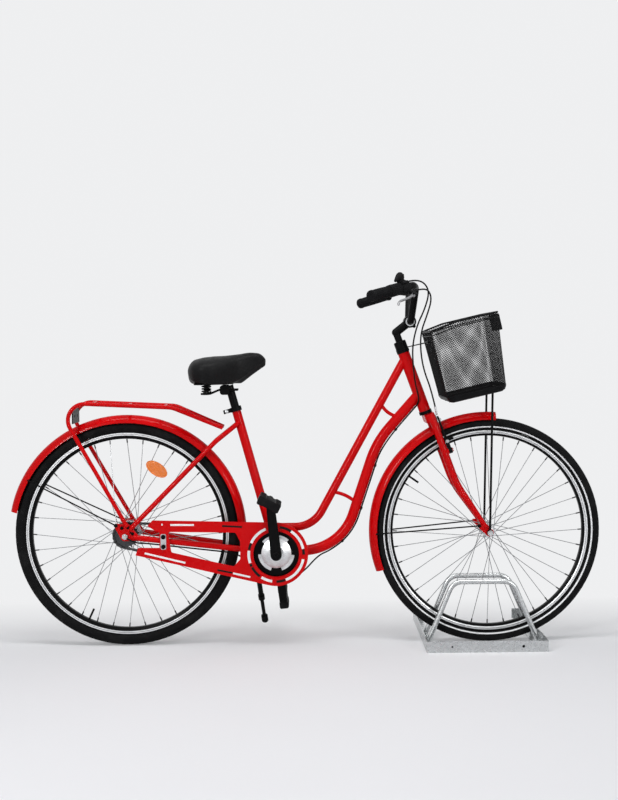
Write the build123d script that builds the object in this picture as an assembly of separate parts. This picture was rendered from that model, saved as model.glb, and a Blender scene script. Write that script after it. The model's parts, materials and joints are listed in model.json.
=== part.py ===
"""City bicycle with a step-through frame, held by its front wheel in a floor stand.

Millimetres. +X is the way the bicycle faces, +Y the rider's left, +Z up, and the floor is at Z = 0.
Lengths are first measured ahead of the rear axle; at() then moves them to the middle of the whole object.
"""

import math
import os

from build123d import *

# Wheels
RIM_RADIUS = 317.0
TYRE_HEIGHT = 32.0
TYRE_RADIUS = RIM_RADIUS + TYRE_HEIGHT
TYRE_WIDTH = 40.0
RIM_DEPTH = 22.0
RIM_WIDTH = 24.0
RIM_WELL_WIDTH = 13.0
SPOKE_COUNT = 36
SPOKE_CROSSINGS = 3
SPOKE_RADIUS = 1.05
SPOKE_RIM_OFFSET = 2.5
SPOKE_ELBOW = 1.0
NIPPLE_RADIUS = 2.1
NIPPLE_LENGTH = 13.0
VALVE_RADIUS = 3.2
VALVE_LENGTH = 34.0
SPOKE_REFLECTOR_SHARE = 0.7
SPOKE_REFLECTOR_ANGLE = 65.0
AXLE_RADIUS = 5.0
AXLE_STICK_OUT = 9.0
NUT_RADIUS = 9.5
NUT_LENGTH = 9.0

# Front hub and rear gear hub, between the fork ends and between the dropouts
FRONT_HUB_WIDTH = 100.0
FRONT_HUB_RADIUS = 13.5
FRONT_FLANGE_RADIUS = 21.0
FRONT_FLANGE_OFFSET = 33.0
REAR_HUB_WIDTH = 120.0
REAR_HUB_RADIUS = 27.0
REAR_FLANGE_RADIUS = 36.0
REAR_FLANGE_OFFSET = 28.0
FLANGE_THICKNESS = 4.0
SPOKE_HOLE_INSET = 3.5
HUB_CONE_RADIUS = 10.0

# Layout of the frame
WHEELBASE = 1118.0
HEAD_TILT = 20.0
FORK_OFFSET = 53.0
BB_DROP = 59.0
BB_HEIGHT = TYRE_RADIUS - BB_DROP
SEAT_TUBE_TILT = 15.4
SEAT_TUBE_RISE = 446.0
SEAT_TUBE_TOP = BB_HEIGHT + SEAT_TUBE_RISE
HEAD_CLEARANCE = 49.0
HEAD_BOTTOM = TYRE_RADIUS + HEAD_CLEARANCE
HEAD_LENGTH = 192.0

# Tube sizes
HEAD_TUBE_RADIUS = 18.0
HEAD_TUBE_BORE = 16.0
SEAT_TUBE_RADIUS = 14.0
SEAT_POST_RADIUS = 12.7
UPPER_TUBE_RADIUS = 12.7
UPPER_TUBE_HEAD_DROP = 16.0
UPPER_TUBE_END_RISE = 74.0
UPPER_TUBE_RUN = 134.8
UPPER_TUBE_BEND = 95.0
LOWER_TUBE_RADIUS = 15.9
LOWER_TUBE_HEAD_RISE = 55.0
LOWER_TUBE_KNEE = (-84.8, -277.4)
LOWER_TUBE_KNEE_BEND = 300.0
LOWER_TUBE_RUN = 201.2
LOWER_TUBE_BEND = 165.0
BRACE_RADIUS = 5.5
HIGH_BRACE = (0.268, 0.475, (-3.0, -9.0))
LOW_BRACE = (0.794, 0.565, (3.0, 7.0))
CHAINSTAY_RADIUS = 9.0
CHAINSTAY_BB_OFFSET = 29.0
CHAINSTAY_KNEE = (-96.4, 30.5, 10.0)
CHAINSTAY_BEND = 300.0
CHAINSTAY_REACH = 34.0
SEAT_STAY_RADIUS = 7.5
SEAT_STAY_TOP_DROP = 43.0
SEAT_STAY_TOP_OFFSET = 11.0
SEAT_STAY_KNEE = (276.0, 38.0)
SEAT_STAY_KNEE_DROP = 102.0
SEAT_STAY_BEND = 70.0
DROPOUT_THICKNESS = 5.0
BB_SHELL_RADIUS = 20.0
BB_SHELL_WIDTH = 68.0
BB_BORE = 17.0
SPINDLE_RADIUS = 8.5
CUP_DEPTH = 12.0
CUP_FLANGE = 4.0

# Clearances
RUNNING = 0.05
BODY_GAP = 0.4

# Headset, fork and stem, along the steering axis
STEERER_RADIUS = 12.7
HEADSET_CUP_RADIUS = 20.0
HEADSET_CUP_HEIGHT = 10.0
LOCKNUT_RADIUS = 19.0
LOCKNUT_HEIGHT = 20.0
BRACKET_RING = 3.0
CROWN_HEIGHT = 25.0
CROWN_WIDTH = 128.0
CROWN_DEPTH = 32.0
BLADE_OFFSET = 54.0
BLADE_SETBACK = 8.6
BLADE_TOP_RADIUS = 11.0
BLADE_END_RADIUS = 7.0
BLADE_KNEE = 152.0
BLADE_BEND = 260.0
BLADE_TAPER_START = 40.0
FORK_END_THICKNESS = 5.0
QUILL_RADIUS = 11.1
QUILL_INSERT = 60.0
ELBOW_HEIGHT = 656.0
STEM_REACH = (42.0, 33.0)
STEM_ARM_RADIUS = 13.0
STEM_CLAMP_RADIUS = 19.0
STEM_CLAMP_WIDTH = 42.0

# Handlebar and controls
BAR_RADIUS = 11.0
BAR_FLAT = 42.0
BAR_RISE_POINT = (9.0, 108.0, 99.0)
BAR_SWEEP_POINT = (-4.0, 160.0, 104.0)
BAR_END = (-135.0, 300.0, 68.0)
BAR_BEND = 38.0
GRIP_RADIUS = 15.0
GRIP_LENGTH = 128.0
SHORT_GRIP_LENGTH = 84.0
GRIP_CAP = 5.0
TWIST_RADIUS = 18.5
TWIST_LENGTH = 42.0
SHIFTER_RADIUS = 24.0
SHIFTER_LENGTH = 24.0
LEVER_CLAMP_RADIUS = 17.0
LEVER_CLAMP_LENGTH = 15.0
LEVER_DROP_ANGLE = 42.0
LEVER_PIVOT_REACH = 34.0
NECK_RADIUS = 7.0
LEVER_LENGTH = 92.0
LEVER_WIDTH = 11.0
LEVER_THICKNESS = 8.0
LEVER_TIP_RADIUS = 7.0
LEVER_SPREAD = 10.0
PIVOT_RADIUS = 3.0
BELL_RADIUS = 12.0
BELL_HEIGHT = 9.0
BELL_REACH = 28.0

# Front brake
BOSS_INSET = 56.0
BOSS_HEIGHT = RIM_RADIUS - BOSS_INSET
BOSS_RADIUS = 6.0
ARM_PLANE = 27.0
ARM_THICKNESS = 11.0
ARM_LENGTH = 107.0
ARM_WIDTH = 15.0
ARM_LEAN = 12.0
PAD_LENGTH = 50.0
PAD_HEIGHT = 10.0
PAD_THICKNESS = 8.0
PAD_GAP = 2.2
PAD_RISE = 30.0
CABLE_RADIUS = 2.4
WIRE_RADIUS = 1.0
CORD_SIDES = 8
GEAR_CABLE_LEAD = 37.8
GEAR_LOOP_LEAD = 47.5
GEAR_CABLE_HUG = 53.7
GEAR_CABLE_STEPS = 3

# Waypoints of the cables, two lists from the top of the head tube and one from the bottom bracket
BRAKE_CABLE_POINTS = (
    (65.2, -120.0, 188.6),
    (79.2, -86.0, 160.6),
    (67.2, -58.0, 112.6),
    (49.2, -44.0, 60.6),
    (49.2, -40.0, 0.6),
    (59.2, -43.0, -57.4),
    (81.2, -45.0, -115.4),
)
GEAR_LOOP_POINTS = (
    (52.2, -130.0, 208.6),
    (71.2, -92.0, 181.6),
    (60.2, -66.0, 132.6),
    (37.2, -48.0, 81.6),
    (24.2, -40.0, 21.6),
    (26.2, -36.0, -38.4),
    (33.2, -31.0, -97.4),
    (48.2, -25.0, -151.4),
)
GEAR_CABLE_SAG = (
    (130.0, 0.0, -15.5),
    (84.0, -4.0, -66.0),
    (39.0, -8.0, -93.0),
    (-6.0, -13.0, -91.0),
    (-46.0, -20.0, -62.0),
    (-81.0, -27.0, -28.0),
    (-131.4, -34.0, 0.5),
)
GEAR_CABLE_END = (
    (62.0, -59.0, -22.5),
    (34.0, -74.0, -19.5),
    (7.0, -79.0, -4.0),
)

# Mudguards
MUDGUARD_CLEARANCE = 20.0
MUDGUARD_OVERLAP = 4.0
MUDGUARD_RADIUS = TYRE_RADIUS + MUDGUARD_CLEARANCE
MUDGUARD_SKIRT = TYRE_RADIUS - MUDGUARD_OVERLAP
MUDGUARD_TOP = TYRE_RADIUS + MUDGUARD_RADIUS
MUDGUARD_WIDTH = 55.0
MUDGUARD_THICKNESS = 1.6
REAR_MUDGUARD_SPAN = (1.0, 168.5)
FRONT_MUDGUARD_SPAN = (86.0, 200.0)
STAY_WIRE_RADIUS = 2.2
REAR_STAY_ANGLE = 150.5
FRONT_STAY_ANGLE = 181.0
REAR_EYELET = (-28.0, 34.0)
FRONT_EYELET = (-33.0, 21.0)
EYELET_RADIUS = 5.5

# Rear rack
RACK_TUBE_RADIUS = 6.3
RACK_OFFSET = 60.0
RACK_FRONT = (299.0, 29.0)
RACK_FRONT_DROP = 59.0
RACK_SHOULDER = (148.0, 24.0)
RACK_REAR_CORNER = (-207.0, 42.0)
RACK_BENDS = (60.0, 50.0)
RACK_FOOT = (8.0, 30.0)
RACK_CROSS_BARS = (120.0, 10.0, -100.0)
RACK_PLATE_HEIGHT = 44.0
RACK_PLATE_THICKNESS = 3.0
RACK_PLATE_PLACE = (50.0, -44.0)
RACK_PLATE_HOLE = (24.0, 5.0)

# Drive
CHAIN_PITCH = 12.7
LINK_COUNT = 102
CHAINRING_TEETH = 38
SPROCKET_TEETH = 19
ROLLER_RADIUS = 3.9
ROLLER_SEAT_GAP = 0.4
SEAT_SIDES = 8
TOOTH_HEIGHT = 3.2
TOOTH_WIDTH = 2.4
TOOTH_FLARE = 0.34
PLATE_HALF_HEIGHT = 4.1
PLATE_THICKNESS = 1.1
PLATE_WAIST = 0.7
INNER_PLATE_OFFSET = 1.8
PLATE_GAP = 0.2
CHAIN_LINE = 44.0
CHAINRING_INNER = 46.0
DISC_RADIUS = 56.0
DISC_THICKNESS = 2.5
DISC_NOTCHES = ((270.0, 36.0), (20.0, 54.0), (162.0, 44.0), (92.0, 24.0))
DISC_DOME_RADII = (46.0, 24.0)
DISC_DOME_HEIGHT = 9.0
CRANK_LENGTH = 170.0
CRANK_INNER = 72.0
CRANK_THICKNESS = 14.0
CRANK_BOSS_RADIUS = 17.0
CRANK_EYE_RADIUS = 12.5
CRANK_LEAN = 6.0
PEDAL_AXLE_RADIUS = 5.0
PEDAL_WIDTH = 92.0
PEDAL_LENGTH = 70.0
PEDAL_HEIGHT = 27.0
PEDAL_BARREL_RADIUS = 9.0
PEDAL_TREAD = 21.0
PEDAL_PLATE = 6.0
PEDAL_GAP = 5.0
RIGHT_PEDAL_TILT = 27.0
LEFT_PEDAL_TILT = 84.0

# Chain guard
GUARD_PLANE = 65.0
GUARD_THICKNESS = 2.0
GUARD_LIP = 7.0
GUARD_RING_RADIUS = 98.0
GUARD_RING_HOLE = 70.0
GUARD_BAR_TOP = TYRE_RADIUS + 49.0
GUARD_REAR_TOP = 84.0
GUARD_REAR_LOW = (31.0, TYRE_RADIUS - 58.0)
GUARD_BRACKET_X = 117.0
GUARD_BRACKET_WIDTH = 17.0

# Kickstand
KICK_PIVOT = (-67.4, 45.0, -35.0)
KICK_FOOT = (-44.4, 196.0)
KICK_FOOT_HEIGHT = 24.0
KICK_FOLDED = (-240.0, 20.0, 10.0)
KICK_RADIUS = 8.0
KICK_LOWER_RADIUS = 6.0
KICK_COLLAR_SHARE = 0.62
KICK_HEAD_RADIUS = 13.0
KICK_HEAD_LENGTH = 18.0
KICK_PIN_RADIUS = 5.0
KICK_FOOT_RADIUS = 10.0
KICK_FOOT_LENGTH = 24.0

# Saddle
POST_INSERT = 120.0
POST_RISE = 70.0
POST_TOP = SEAT_TUBE_TOP + POST_RISE
SADDLE_BOTTOM = 8.0
SADDLE_REAR = -120.25
SADDLE_STATIONS = (
    (0.0, 46.0, 62.0, 40.0),
    (8.0, 74.0, 76.0, 46.0),
    (30.0, 98.0, 84.0, 50.0),
    (65.0, 104.0, 88.0, 52.0),
    (110.0, 78.0, 90.0, 56.0),
    (150.0, 44.0, 94.0, 66.0),
    (195.0, 28.0, 99.5, 80.0),
    (222.0, 22.0, 96.0, 80.0),
    (232.0, 12.0, 84.0, 76.0),
)
SADDLE_NOSE_RISE = (136.0, 61.0)
SADDLE_BASE_THICKNESS = 4.0
SPRING_RADIUS = 10.0
SPRING_WIRE = 2.2
SPRING_SIDES = 6
SPRING_TURNS = 3
SPRING_PLACE = (-70.25, 42.0)
SPRING_SEAT = -24.0
RAIL_RADIUS = 3.2
SADDLE_CLAMP_SIZE = (30.0, 52.0, 30.0)
SADDLE_CLAMP_PLACE = (-12.25, -13.0)

# Basket, drawn level and then tipped up at the front
BASKET_BOTTOM = (45.0, 50.0)
BASKET_TIP = 13.0
BASKET_LOWER = (181.0, 270.0)
BASKET_UPPER = (208.0, 326.0)
BASKET_UPPER_SHIFT = 8.0
BASKET_HEIGHT = 238.0
BASKET_CORNER = 26.0
BASKET_WALL = 3.0
BASKET_REAR_DIP = 12.0
BASKET_RIB = 4.0
BASKET_BAND = 33.0
BASKET_RIM = 19.0
BASKET_WINDOWS = (4, 7, 5)
BASKET_ROD_RADIUS = 3.5
BASKET_ROD_AHEAD = 56.0
REFLECTOR_SIZE = (22.0, 62.0, 50.0)
REFLECTOR_DROP = 34.0

# Floor stand
STAND_SETBACK = 20.5
STAND_CENTRE = WHEELBASE - STAND_SETBACK
STAND_LENGTH = 367.0
STAND_NEAR = -142.0
STAND_FAR = 294.0
STAND_FLANGE = 34.0
STAND_FOOT = 30.0
STAND_SHEET = 3.0
STAND_RETURN = 34.0
HOOP_OFFSET = 48.0
HOOP_TUBE_RADIUS = 8.0
HOOP_HEIGHT = 204.0
HOOP_TOP_LENGTH = 184.0
HOOP_BEND = 42.0
STAND_HOLES = ((-107.0, 3.0), (108.0, 4.5))

os.makedirs("parts", exist_ok=True)
BASE = (Align.CENTER, Align.CENTER, Align.MIN)
parts = {}

# The two ends of the whole object set where the middle lies
REAR_REACH = MUDGUARD_RADIUS * math.cos(math.radians(180 - REAR_MUDGUARD_SPAN[1]))
REAR_X = (REAR_REACH - WHEELBASE - TYRE_RADIUS) / 2


def at(x, y, z):
    """A point given ahead of the rear axle, to the rider's left and above the floor."""
    return Vector(x + REAR_X, y, z)


def rod(start, end, radius):
    """A round bar between two points."""
    span = end - start
    return Plane(origin=start, z_dir=span) * Cylinder(radius, span.length, align=BASE)


def cone(start, end, start_radius, end_radius):
    """A round bar that tapers between two points."""
    span = end - start
    return Plane(origin=start, z_dir=span) * Cone(start_radius, end_radius, span.length, align=BASE)


def swept(section, path):
    """A section carried along a path from its start."""
    return sweep(Plane(origin=path @ 0, z_dir=path % 0) * section, path=path)


def bent_tube(points, radius, bends):
    """A round bar along straight runs joined by tangent arcs."""
    return swept(Circle(radius), FilletPolyline(*points, radius=bends))


def bent_cord(points, radius, bends):
    """A cable or wire along straight runs joined by tangent arcs, with few sides to stay light."""
    return swept(RegularPolygon(radius, CORD_SIDES), FilletPolyline(*points, radius=bends))


def across(x, z, low, high, radius):
    """A round bar that runs across the bicycle."""
    return rod(at(x, low, z), at(x, high, z), radius)


def slab(sketch, low, high):
    """A sketch drawn in length and height, made as thick as low to high across the bicycle."""
    plane = Plane(origin=(REAR_X, high, 0), x_dir=(1, 0, 0), z_dir=(0, -1, 0))
    return extrude(plane * sketch, high - low)


def turned(profile, centre):
    """A profile of width and radius, turned about an axle."""
    plane = Plane(origin=centre, x_dir=(0, 1, 0), z_dir=(1, 0, 0))
    return revolve(plane * profile, Axis(centre, (0, 1, 0)), 360)


def prism(start, end, radius, sides):
    """A bar with flat sides between two points."""
    span = end - start
    return extrude(Plane(origin=start, z_dir=span) * RegularPolygon(radius, sides), span.length)


def mirrored(part):
    """The same piece on the other side of the bicycle."""
    return mirror(part, Plane.XZ)


def pair(part):
    """A piece on the rider's left with its twin on the right."""
    return Compound(children=[part, mirrored(part)])


def polar(x, z, radius, degrees):
    """A point of length and height on a circle about an axle."""
    angle = math.radians(degrees)
    return x + radius * math.cos(angle), z + radius * math.sin(angle)


def add(node, shape):
    parts[node] = shape


# Chain drive geometry: the link count sets how far the bottom bracket lies from the rear axle
RING_PITCH_RADIUS = CHAIN_PITCH / 2 / math.sin(math.pi / CHAINRING_TEETH)
COG_PITCH_RADIUS = CHAIN_PITCH / 2 / math.sin(math.pi / SPROCKET_TEETH)


def links_needed(centres):
    """Links of a chain round both sprockets at a distance between centres."""
    lean = math.asin((RING_PITCH_RADIUS - COG_PITCH_RADIUS) / centres)
    straight = 2 * centres * math.cos(lean) / CHAIN_PITCH
    ring = CHAINRING_TEETH * (math.pi + 2 * lean) / math.tau
    cog = SPROCKET_TEETH * (math.pi - 2 * lean) / math.tau
    return straight + ring + cog


CHAIN_CENTRES = CHAIN_PITCH * LINK_COUNT / 3
for _ in range(20):
    CHAIN_CENTRES += (LINK_COUNT - links_needed(CHAIN_CENTRES)) * CHAIN_PITCH / 2
BB_AHEAD = math.sqrt(CHAIN_CENTRES**2 - BB_DROP**2)

# Named places
REAR_AXLE = at(0, 0, TYRE_RADIUS)
FRONT_AXLE = at(WHEELBASE, 0, TYRE_RADIUS)
BB = at(BB_AHEAD, 0, BB_HEIGHT)
TILT = math.radians(HEAD_TILT)
AXIS_AHEAD = WHEELBASE - FORK_OFFSET / math.cos(TILT)
STEER = Plane(
    origin=at(AXIS_AHEAD, 0, TYRE_RADIUS),
    x_dir=(math.cos(TILT), 0, math.sin(TILT)),
    z_dir=(-math.sin(TILT), 0, math.cos(TILT)),
)
SEAT_AXIS = Vector(-math.sin(math.radians(SEAT_TUBE_TILT)), 0, math.cos(math.radians(SEAT_TUBE_TILT)))
HEAD_TOP = HEAD_BOTTOM + HEAD_LENGTH


def bb_at(x, y, z):
    """A point measured from the bottom bracket."""
    return BB + Vector(x, y, z)


def steer(ahead, y, along):
    """A point measured from the steering axis."""
    return STEER.from_local_coords((ahead, y, along))


def on_steer(radius, low, high):
    """A round bar on the steering axis."""
    return rod(steer(0, 0, low), steer(0, 0, high), radius)


def head_at(x, y, z):
    """A point measured from the top of the head tube."""
    return steer(0, 0, HEAD_TOP) + Vector(x, y, z)


def seat_at(height):
    """The point of the seat tube's axis at a height."""
    return BB + SEAT_AXIS * ((height - BB_HEIGHT) / SEAT_AXIS.Z)


# Frame tubes
head_core = on_steer(HEAD_TUBE_RADIUS, HEAD_BOTTOM, HEAD_TOP)
seat_core = rod(BB, seat_at(SEAT_TUBE_TOP), SEAT_TUBE_RADIUS)
bb_core = across(BB_AHEAD, BB_HEIGHT, -BB_SHELL_WIDTH / 2, BB_SHELL_WIDTH / 2, BB_SHELL_RADIUS)
seat_bore = rod(BB, seat_at(SEAT_TUBE_TOP) + SEAT_AXIS, SEAT_POST_RADIUS + RUNNING)

add("head_tube", head_core - on_steer(HEAD_TUBE_BORE, HEAD_BOTTOM - 1, HEAD_TOP + 1))
add("seat_tube", seat_core - bb_core - seat_bore)
add("bottom_bracket_shell", bb_core - across(BB_AHEAD, BB_HEIGHT, -BB_SHELL_WIDTH, BB_SHELL_WIDTH, BB_BORE))

upper_start = steer(0, 0, HEAD_TOP - UPPER_TUBE_HEAD_DROP)
upper_end = seat_at(BB_HEIGHT + UPPER_TUBE_END_RISE)
upper_corner = upper_end + Vector(UPPER_TUBE_RUN, 0, 0)
upper_tube = bent_tube([upper_start, upper_corner, upper_end], UPPER_TUBE_RADIUS, UPPER_TUBE_BEND)
add("upper_tube", upper_tube - head_core - seat_core)

knee = head_at(LOWER_TUBE_KNEE[0], 0, LOWER_TUBE_KNEE[1])
lower_start = steer(0, 0, HEAD_BOTTOM + LOWER_TUBE_HEAD_RISE)
lower_corner = bb_at(LOWER_TUBE_RUN, 0, 0)
LOWER_ROUTE = [lower_start, knee, lower_corner, BB]
lower_tube = bent_tube(LOWER_ROUTE, LOWER_TUBE_RADIUS, [LOWER_TUBE_KNEE_BEND, LOWER_TUBE_BEND])
lower_tube = lower_tube - head_core - bb_core - upper_tube


def brace(upper_share, run, lower_share, bow):
    """A small curved bar brazed between the two long tubes, at a share of each one's run."""
    start = upper_start + (upper_corner - upper_start) * upper_share
    end = run[0] + (run[1] - run[0]) * lower_share
    path = ThreePointArc(start, (start + end) * 0.5 + Vector(bow[0], 0, bow[1]), end)
    return (swept(Circle(BRACE_RADIUS), path) - upper_tube).solids().sort_by(SortBy.VOLUME)[-1]


high_brace = brace(HIGH_BRACE[0], (lower_start, knee), *HIGH_BRACE[1:])
low_brace = brace(LOW_BRACE[0], (knee, lower_corner), *LOW_BRACE[1:])
add("lower_tube", lower_tube + high_brace + low_brace)

# Rear triangle
REAR_FACE = REAR_HUB_WIDTH / 2
dropout_outline = make_hull(
    (Pos(0, TYRE_RADIUS) * Circle(NUT_RADIUS + 5)).edges()
    + (Pos(CHAINSTAY_REACH, TYRE_RADIUS - 4) * Circle(CHAINSTAY_RADIUS)).edges()
    + (Pos(RACK_FOOT[0], TYRE_RADIUS + RACK_FOOT[1]) * Circle(8)).edges()
    + (Pos(REAR_EYELET[0], TYRE_RADIUS + REAR_EYELET[1]) * Circle(EYELET_RADIUS)).edges()
)
dropout_outline -= Pos(0, TYRE_RADIUS) * Circle(AXLE_RADIUS)
dropout_outline -= Pos(16, TYRE_RADIUS + 12) * RegularPolygon(5, 3)
dropout = slab(dropout_outline, REAR_FACE, REAR_FACE + DROPOUT_THICKNESS)
stay_plane = REAR_FACE + DROPOUT_THICKNESS / 2
chainstay = bent_tube(
    [
        at(BB_AHEAD, CHAINSTAY_BB_OFFSET, BB_HEIGHT),
        bb_at(*CHAINSTAY_KNEE),
        at(CHAINSTAY_REACH - 8, stay_plane, TYRE_RADIUS - 4),
    ],
    CHAINSTAY_RADIUS,
    CHAINSTAY_BEND,
)
chainstay -= across(BB_AHEAD, BB_HEIGHT, 0, BB_SHELL_WIDTH, BB_SHELL_RADIUS)

stay_top = seat_at(SEAT_TUBE_TOP - SEAT_STAY_TOP_DROP)
seat_stay = bent_tube(
    [
        Vector(stay_top.X, SEAT_STAY_TOP_OFFSET, stay_top.Z),
        at(*SEAT_STAY_KNEE, SEAT_TUBE_TOP - SEAT_STAY_KNEE_DROP),
        at(RACK_FOOT[0] + 8, stay_plane, TYRE_RADIUS + RACK_FOOT[1] - 8),
    ],
    SEAT_STAY_RADIUS,
    SEAT_STAY_BEND,
)
seat_stay = (seat_stay - seat_core).solids().sort_by(SortBy.VOLUME)[-1]
rear_side = dropout + chainstay + seat_stay

# Bearing cups of the headset and the bottom bracket
steerer_bore = on_steer(STEERER_RADIUS + RUNNING, HEAD_BOTTOM - 50, HEAD_TOP + 50)
upper_cup = on_steer(HEADSET_CUP_RADIUS, HEAD_TOP, HEAD_TOP + HEADSET_CUP_HEIGHT)
upper_cup += on_steer(HEAD_TUBE_BORE, HEAD_TOP - HEADSET_CUP_HEIGHT, HEAD_TOP)
lower_cup = on_steer(HEADSET_CUP_RADIUS, HEAD_BOTTOM - HEADSET_CUP_HEIGHT, HEAD_BOTTOM)
lower_cup += on_steer(HEAD_TUBE_BORE, HEAD_BOTTOM, HEAD_BOTTOM + HEADSET_CUP_HEIGHT)
headset_cups = [upper_cup - steerer_bore, lower_cup - steerer_bore]

cup_face = BB_SHELL_WIDTH / 2
bb_cup = across(BB_AHEAD, BB_HEIGHT, cup_face - CUP_DEPTH, cup_face, BB_BORE)
bb_cup += across(BB_AHEAD, BB_HEIGHT, cup_face, cup_face + CUP_FLANGE, BB_SHELL_RADIUS)
bb_cup -= across(BB_AHEAD, BB_HEIGHT, 0, BB_SHELL_WIDTH, SPINDLE_RADIUS + RUNNING)
add("bearing_cups", Compound(children=[*headset_cups, bb_cup, mirrored(bb_cup)]))

# Seat clamp with its bolt lugs at the back
SEAT_TOP = Plane(origin=seat_at(SEAT_TUBE_TOP), x_dir=(SEAT_AXIS.Z, 0, -SEAT_AXIS.X), z_dir=SEAT_AXIS)
clamp = Pos(0, 0, -10) * Cylinder(SEAT_TUBE_RADIUS + 4, 14, align=BASE)
clamp += Pos(-SEAT_TUBE_RADIUS - 13, 0, -9) * Box(24, 20, 12, align=BASE)
clamp -= Pos(0, 0, -20) * Cylinder(SEAT_TUBE_RADIUS, 20, align=BASE)
clamp -= Pos(0, 0, -1) * Cylinder(SEAT_POST_RADIUS + RUNNING, 20, align=BASE)
clamp -= Pos(-SEAT_TUBE_RADIUS - 20, 0, -20) * Box(40, 3, 40, align=BASE)
add("seat_clamp", SEAT_TOP * clamp)

# Rear axle, with a nut on each side
axle_end = REAR_FACE + DROPOUT_THICKNESS + NUT_LENGTH + AXLE_STICK_OUT
rear_axle = across(0, TYRE_RADIUS, -axle_end, axle_end, AXLE_RADIUS)
for side in (-1, 1):
    face = side * (REAR_FACE + DROPOUT_THICKNESS)
    rear_axle += prism(
        at(0, face, TYRE_RADIUS), at(0, face + side * NUT_LENGTH, TYRE_RADIUS), NUT_RADIUS, 6
    )
add("rear_axle", rear_axle)


# Wheels
def tyre_and_rim(centre):
    """A tyre with a rounded crown, seated on a rim with a tapered well."""
    half, flank = TYRE_WIDTH / 2, RIM_WIDTH / 2
    crown = (TYRE_RADIUS + RIM_RADIUS) / 2
    side = Polyline((-half, crown), (-flank, RIM_RADIUS), (flank, RIM_RADIUS), (half, crown))
    tread = ThreePointArc((half, crown), (0, TYRE_RADIUS), (-half, crown))
    tyre = turned(make_face(Curve() + [side, tread]), centre)
    well, floor = RIM_WELL_WIDTH / 2, RIM_RADIUS - RIM_DEPTH
    shoulder = RIM_RADIUS - RIM_DEPTH / 2
    rim_profile = make_face(
        Polyline(
            (-flank, RIM_RADIUS),
            (-flank, shoulder),
            (-well, floor),
            (well, floor),
            (flank, shoulder),
            (flank, RIM_RADIUS),
            close=True,
        )
    )
    return tyre, turned(rim_profile, centre)


def spokes(centre, flange_radius, flange_offset):
    """Crossed spokes: on each flange half lead and half trail, from either face of the flange."""
    bars = []
    floor = RIM_RADIUS - RIM_DEPTH - RUNNING
    hole = flange_radius - SPOKE_HOLE_INSET
    lift = FLANGE_THICKNESS / 2 + SPOKE_RADIUS + SPOKE_ELBOW
    for i in range(SPOKE_COUNT):
        side = 1 if i % 2 else -1
        lead = 1 if (i // 2) % 2 else -1
        rim_angle = i * 360 / SPOKE_COUNT
        hub_angle = rim_angle + lead * SPOKE_CROSSINGS * 720 / SPOKE_COUNT
        hub_x, hub_z = polar(0, 0, hole, hub_angle)
        rim_x, rim_z = polar(0, 0, floor, rim_angle)
        start = centre + Vector(hub_x, side * (flange_offset + lead * lift), hub_z)
        end = centre + Vector(rim_x, side * SPOKE_RIM_OFFSET, rim_z)
        nipple = end + (start - end).normalized() * NIPPLE_LENGTH
        inner_end = end + (start - end).normalized() * NIPPLE_RADIUS / 2
        bars.append(prism(start, nipple, SPOKE_RADIUS, 6) + prism(nipple, inner_end, NIPPLE_RADIUS, 6))
    return Compound(children=bars)


def valve(centre, degrees):
    """A tyre valve that stands in from the rim between two spokes."""
    x, z = polar(0, 0, RIM_RADIUS - RIM_DEPTH - VALVE_LENGTH, degrees)
    end_x, end_z = polar(0, 0, RIM_RADIUS - RIM_DEPTH - RUNNING, degrees)
    return prism(centre + Vector(x, 0, z), centre + Vector(end_x, 0, end_z), VALVE_RADIUS, 8)


def hub(centre, half_width, barrel, flange_radius, flange_offset):
    """A hub shell with two spoke flanges and a bore for its axle."""
    low, high = flange_offset - FLANGE_THICKNESS / 2, flange_offset + FLANGE_THICKNESS / 2
    edge = half_width - BODY_GAP
    profile = make_face(
        Polyline(
            (-edge, AXLE_RADIUS + RUNNING),
            (-edge, HUB_CONE_RADIUS),
            (-high, barrel),
            (-high, flange_radius),
            (-low, flange_radius),
            (-low, barrel),
            (low, barrel),
            (low, flange_radius),
            (high, flange_radius),
            (high, barrel),
            (edge, HUB_CONE_RADIUS),
            (edge, AXLE_RADIUS + RUNNING),
            close=True,
        )
    )
    return turned(profile, centre)


REAR_VALVE_ANGLE = 245.0
FRONT_VALVE_ANGLE = 145.0
for name, centre, valve_angle in (
    ("rear", REAR_AXLE, REAR_VALVE_ANGLE),
    ("front", FRONT_AXLE, FRONT_VALVE_ANGLE),
):
    tyre, rim = tyre_and_rim(centre)
    add(f"{name}_tyre", tyre)
    add(f"{name}_rim", Compound(children=[rim, valve(centre, valve_angle)]))

SPROCKET_INNER = CHAIN_LINE - 7.0
front_hub = hub(FRONT_AXLE, FRONT_HUB_WIDTH / 2, FRONT_HUB_RADIUS, FRONT_FLANGE_RADIUS, FRONT_FLANGE_OFFSET)
add("front_hub", front_hub)
add("front_spokes", spokes(FRONT_AXLE, FRONT_FLANGE_RADIUS, FRONT_FLANGE_OFFSET))
rear_hub = hub(REAR_AXLE, REAR_FACE, REAR_HUB_RADIUS, REAR_FLANGE_RADIUS, REAR_FLANGE_OFFSET)
rear_hub -= across(0, TYRE_RADIUS, -REAR_FACE, -SPROCKET_INNER + BODY_GAP, REAR_FLANGE_RADIUS)
add("rear_hub", rear_hub)
add("rear_spokes", spokes(REAR_AXLE, REAR_FLANGE_RADIUS, REAR_FLANGE_OFFSET))

# Oval reflector clipped between the rear spokes
reflector_x, reflector_z = polar(0, TYRE_RADIUS, SPOKE_REFLECTOR_SHARE * RIM_RADIUS, SPOKE_REFLECTOR_ANGLE)
reflector = extrude(
    Plane(origin=at(reflector_x, -13.7, reflector_z), x_dir=(0.82, 0, -0.57), z_dir=(0, -1, 0))
    * Ellipse(37, 20),
    6,
)
add("spoke_reflector", reflector)


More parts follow.
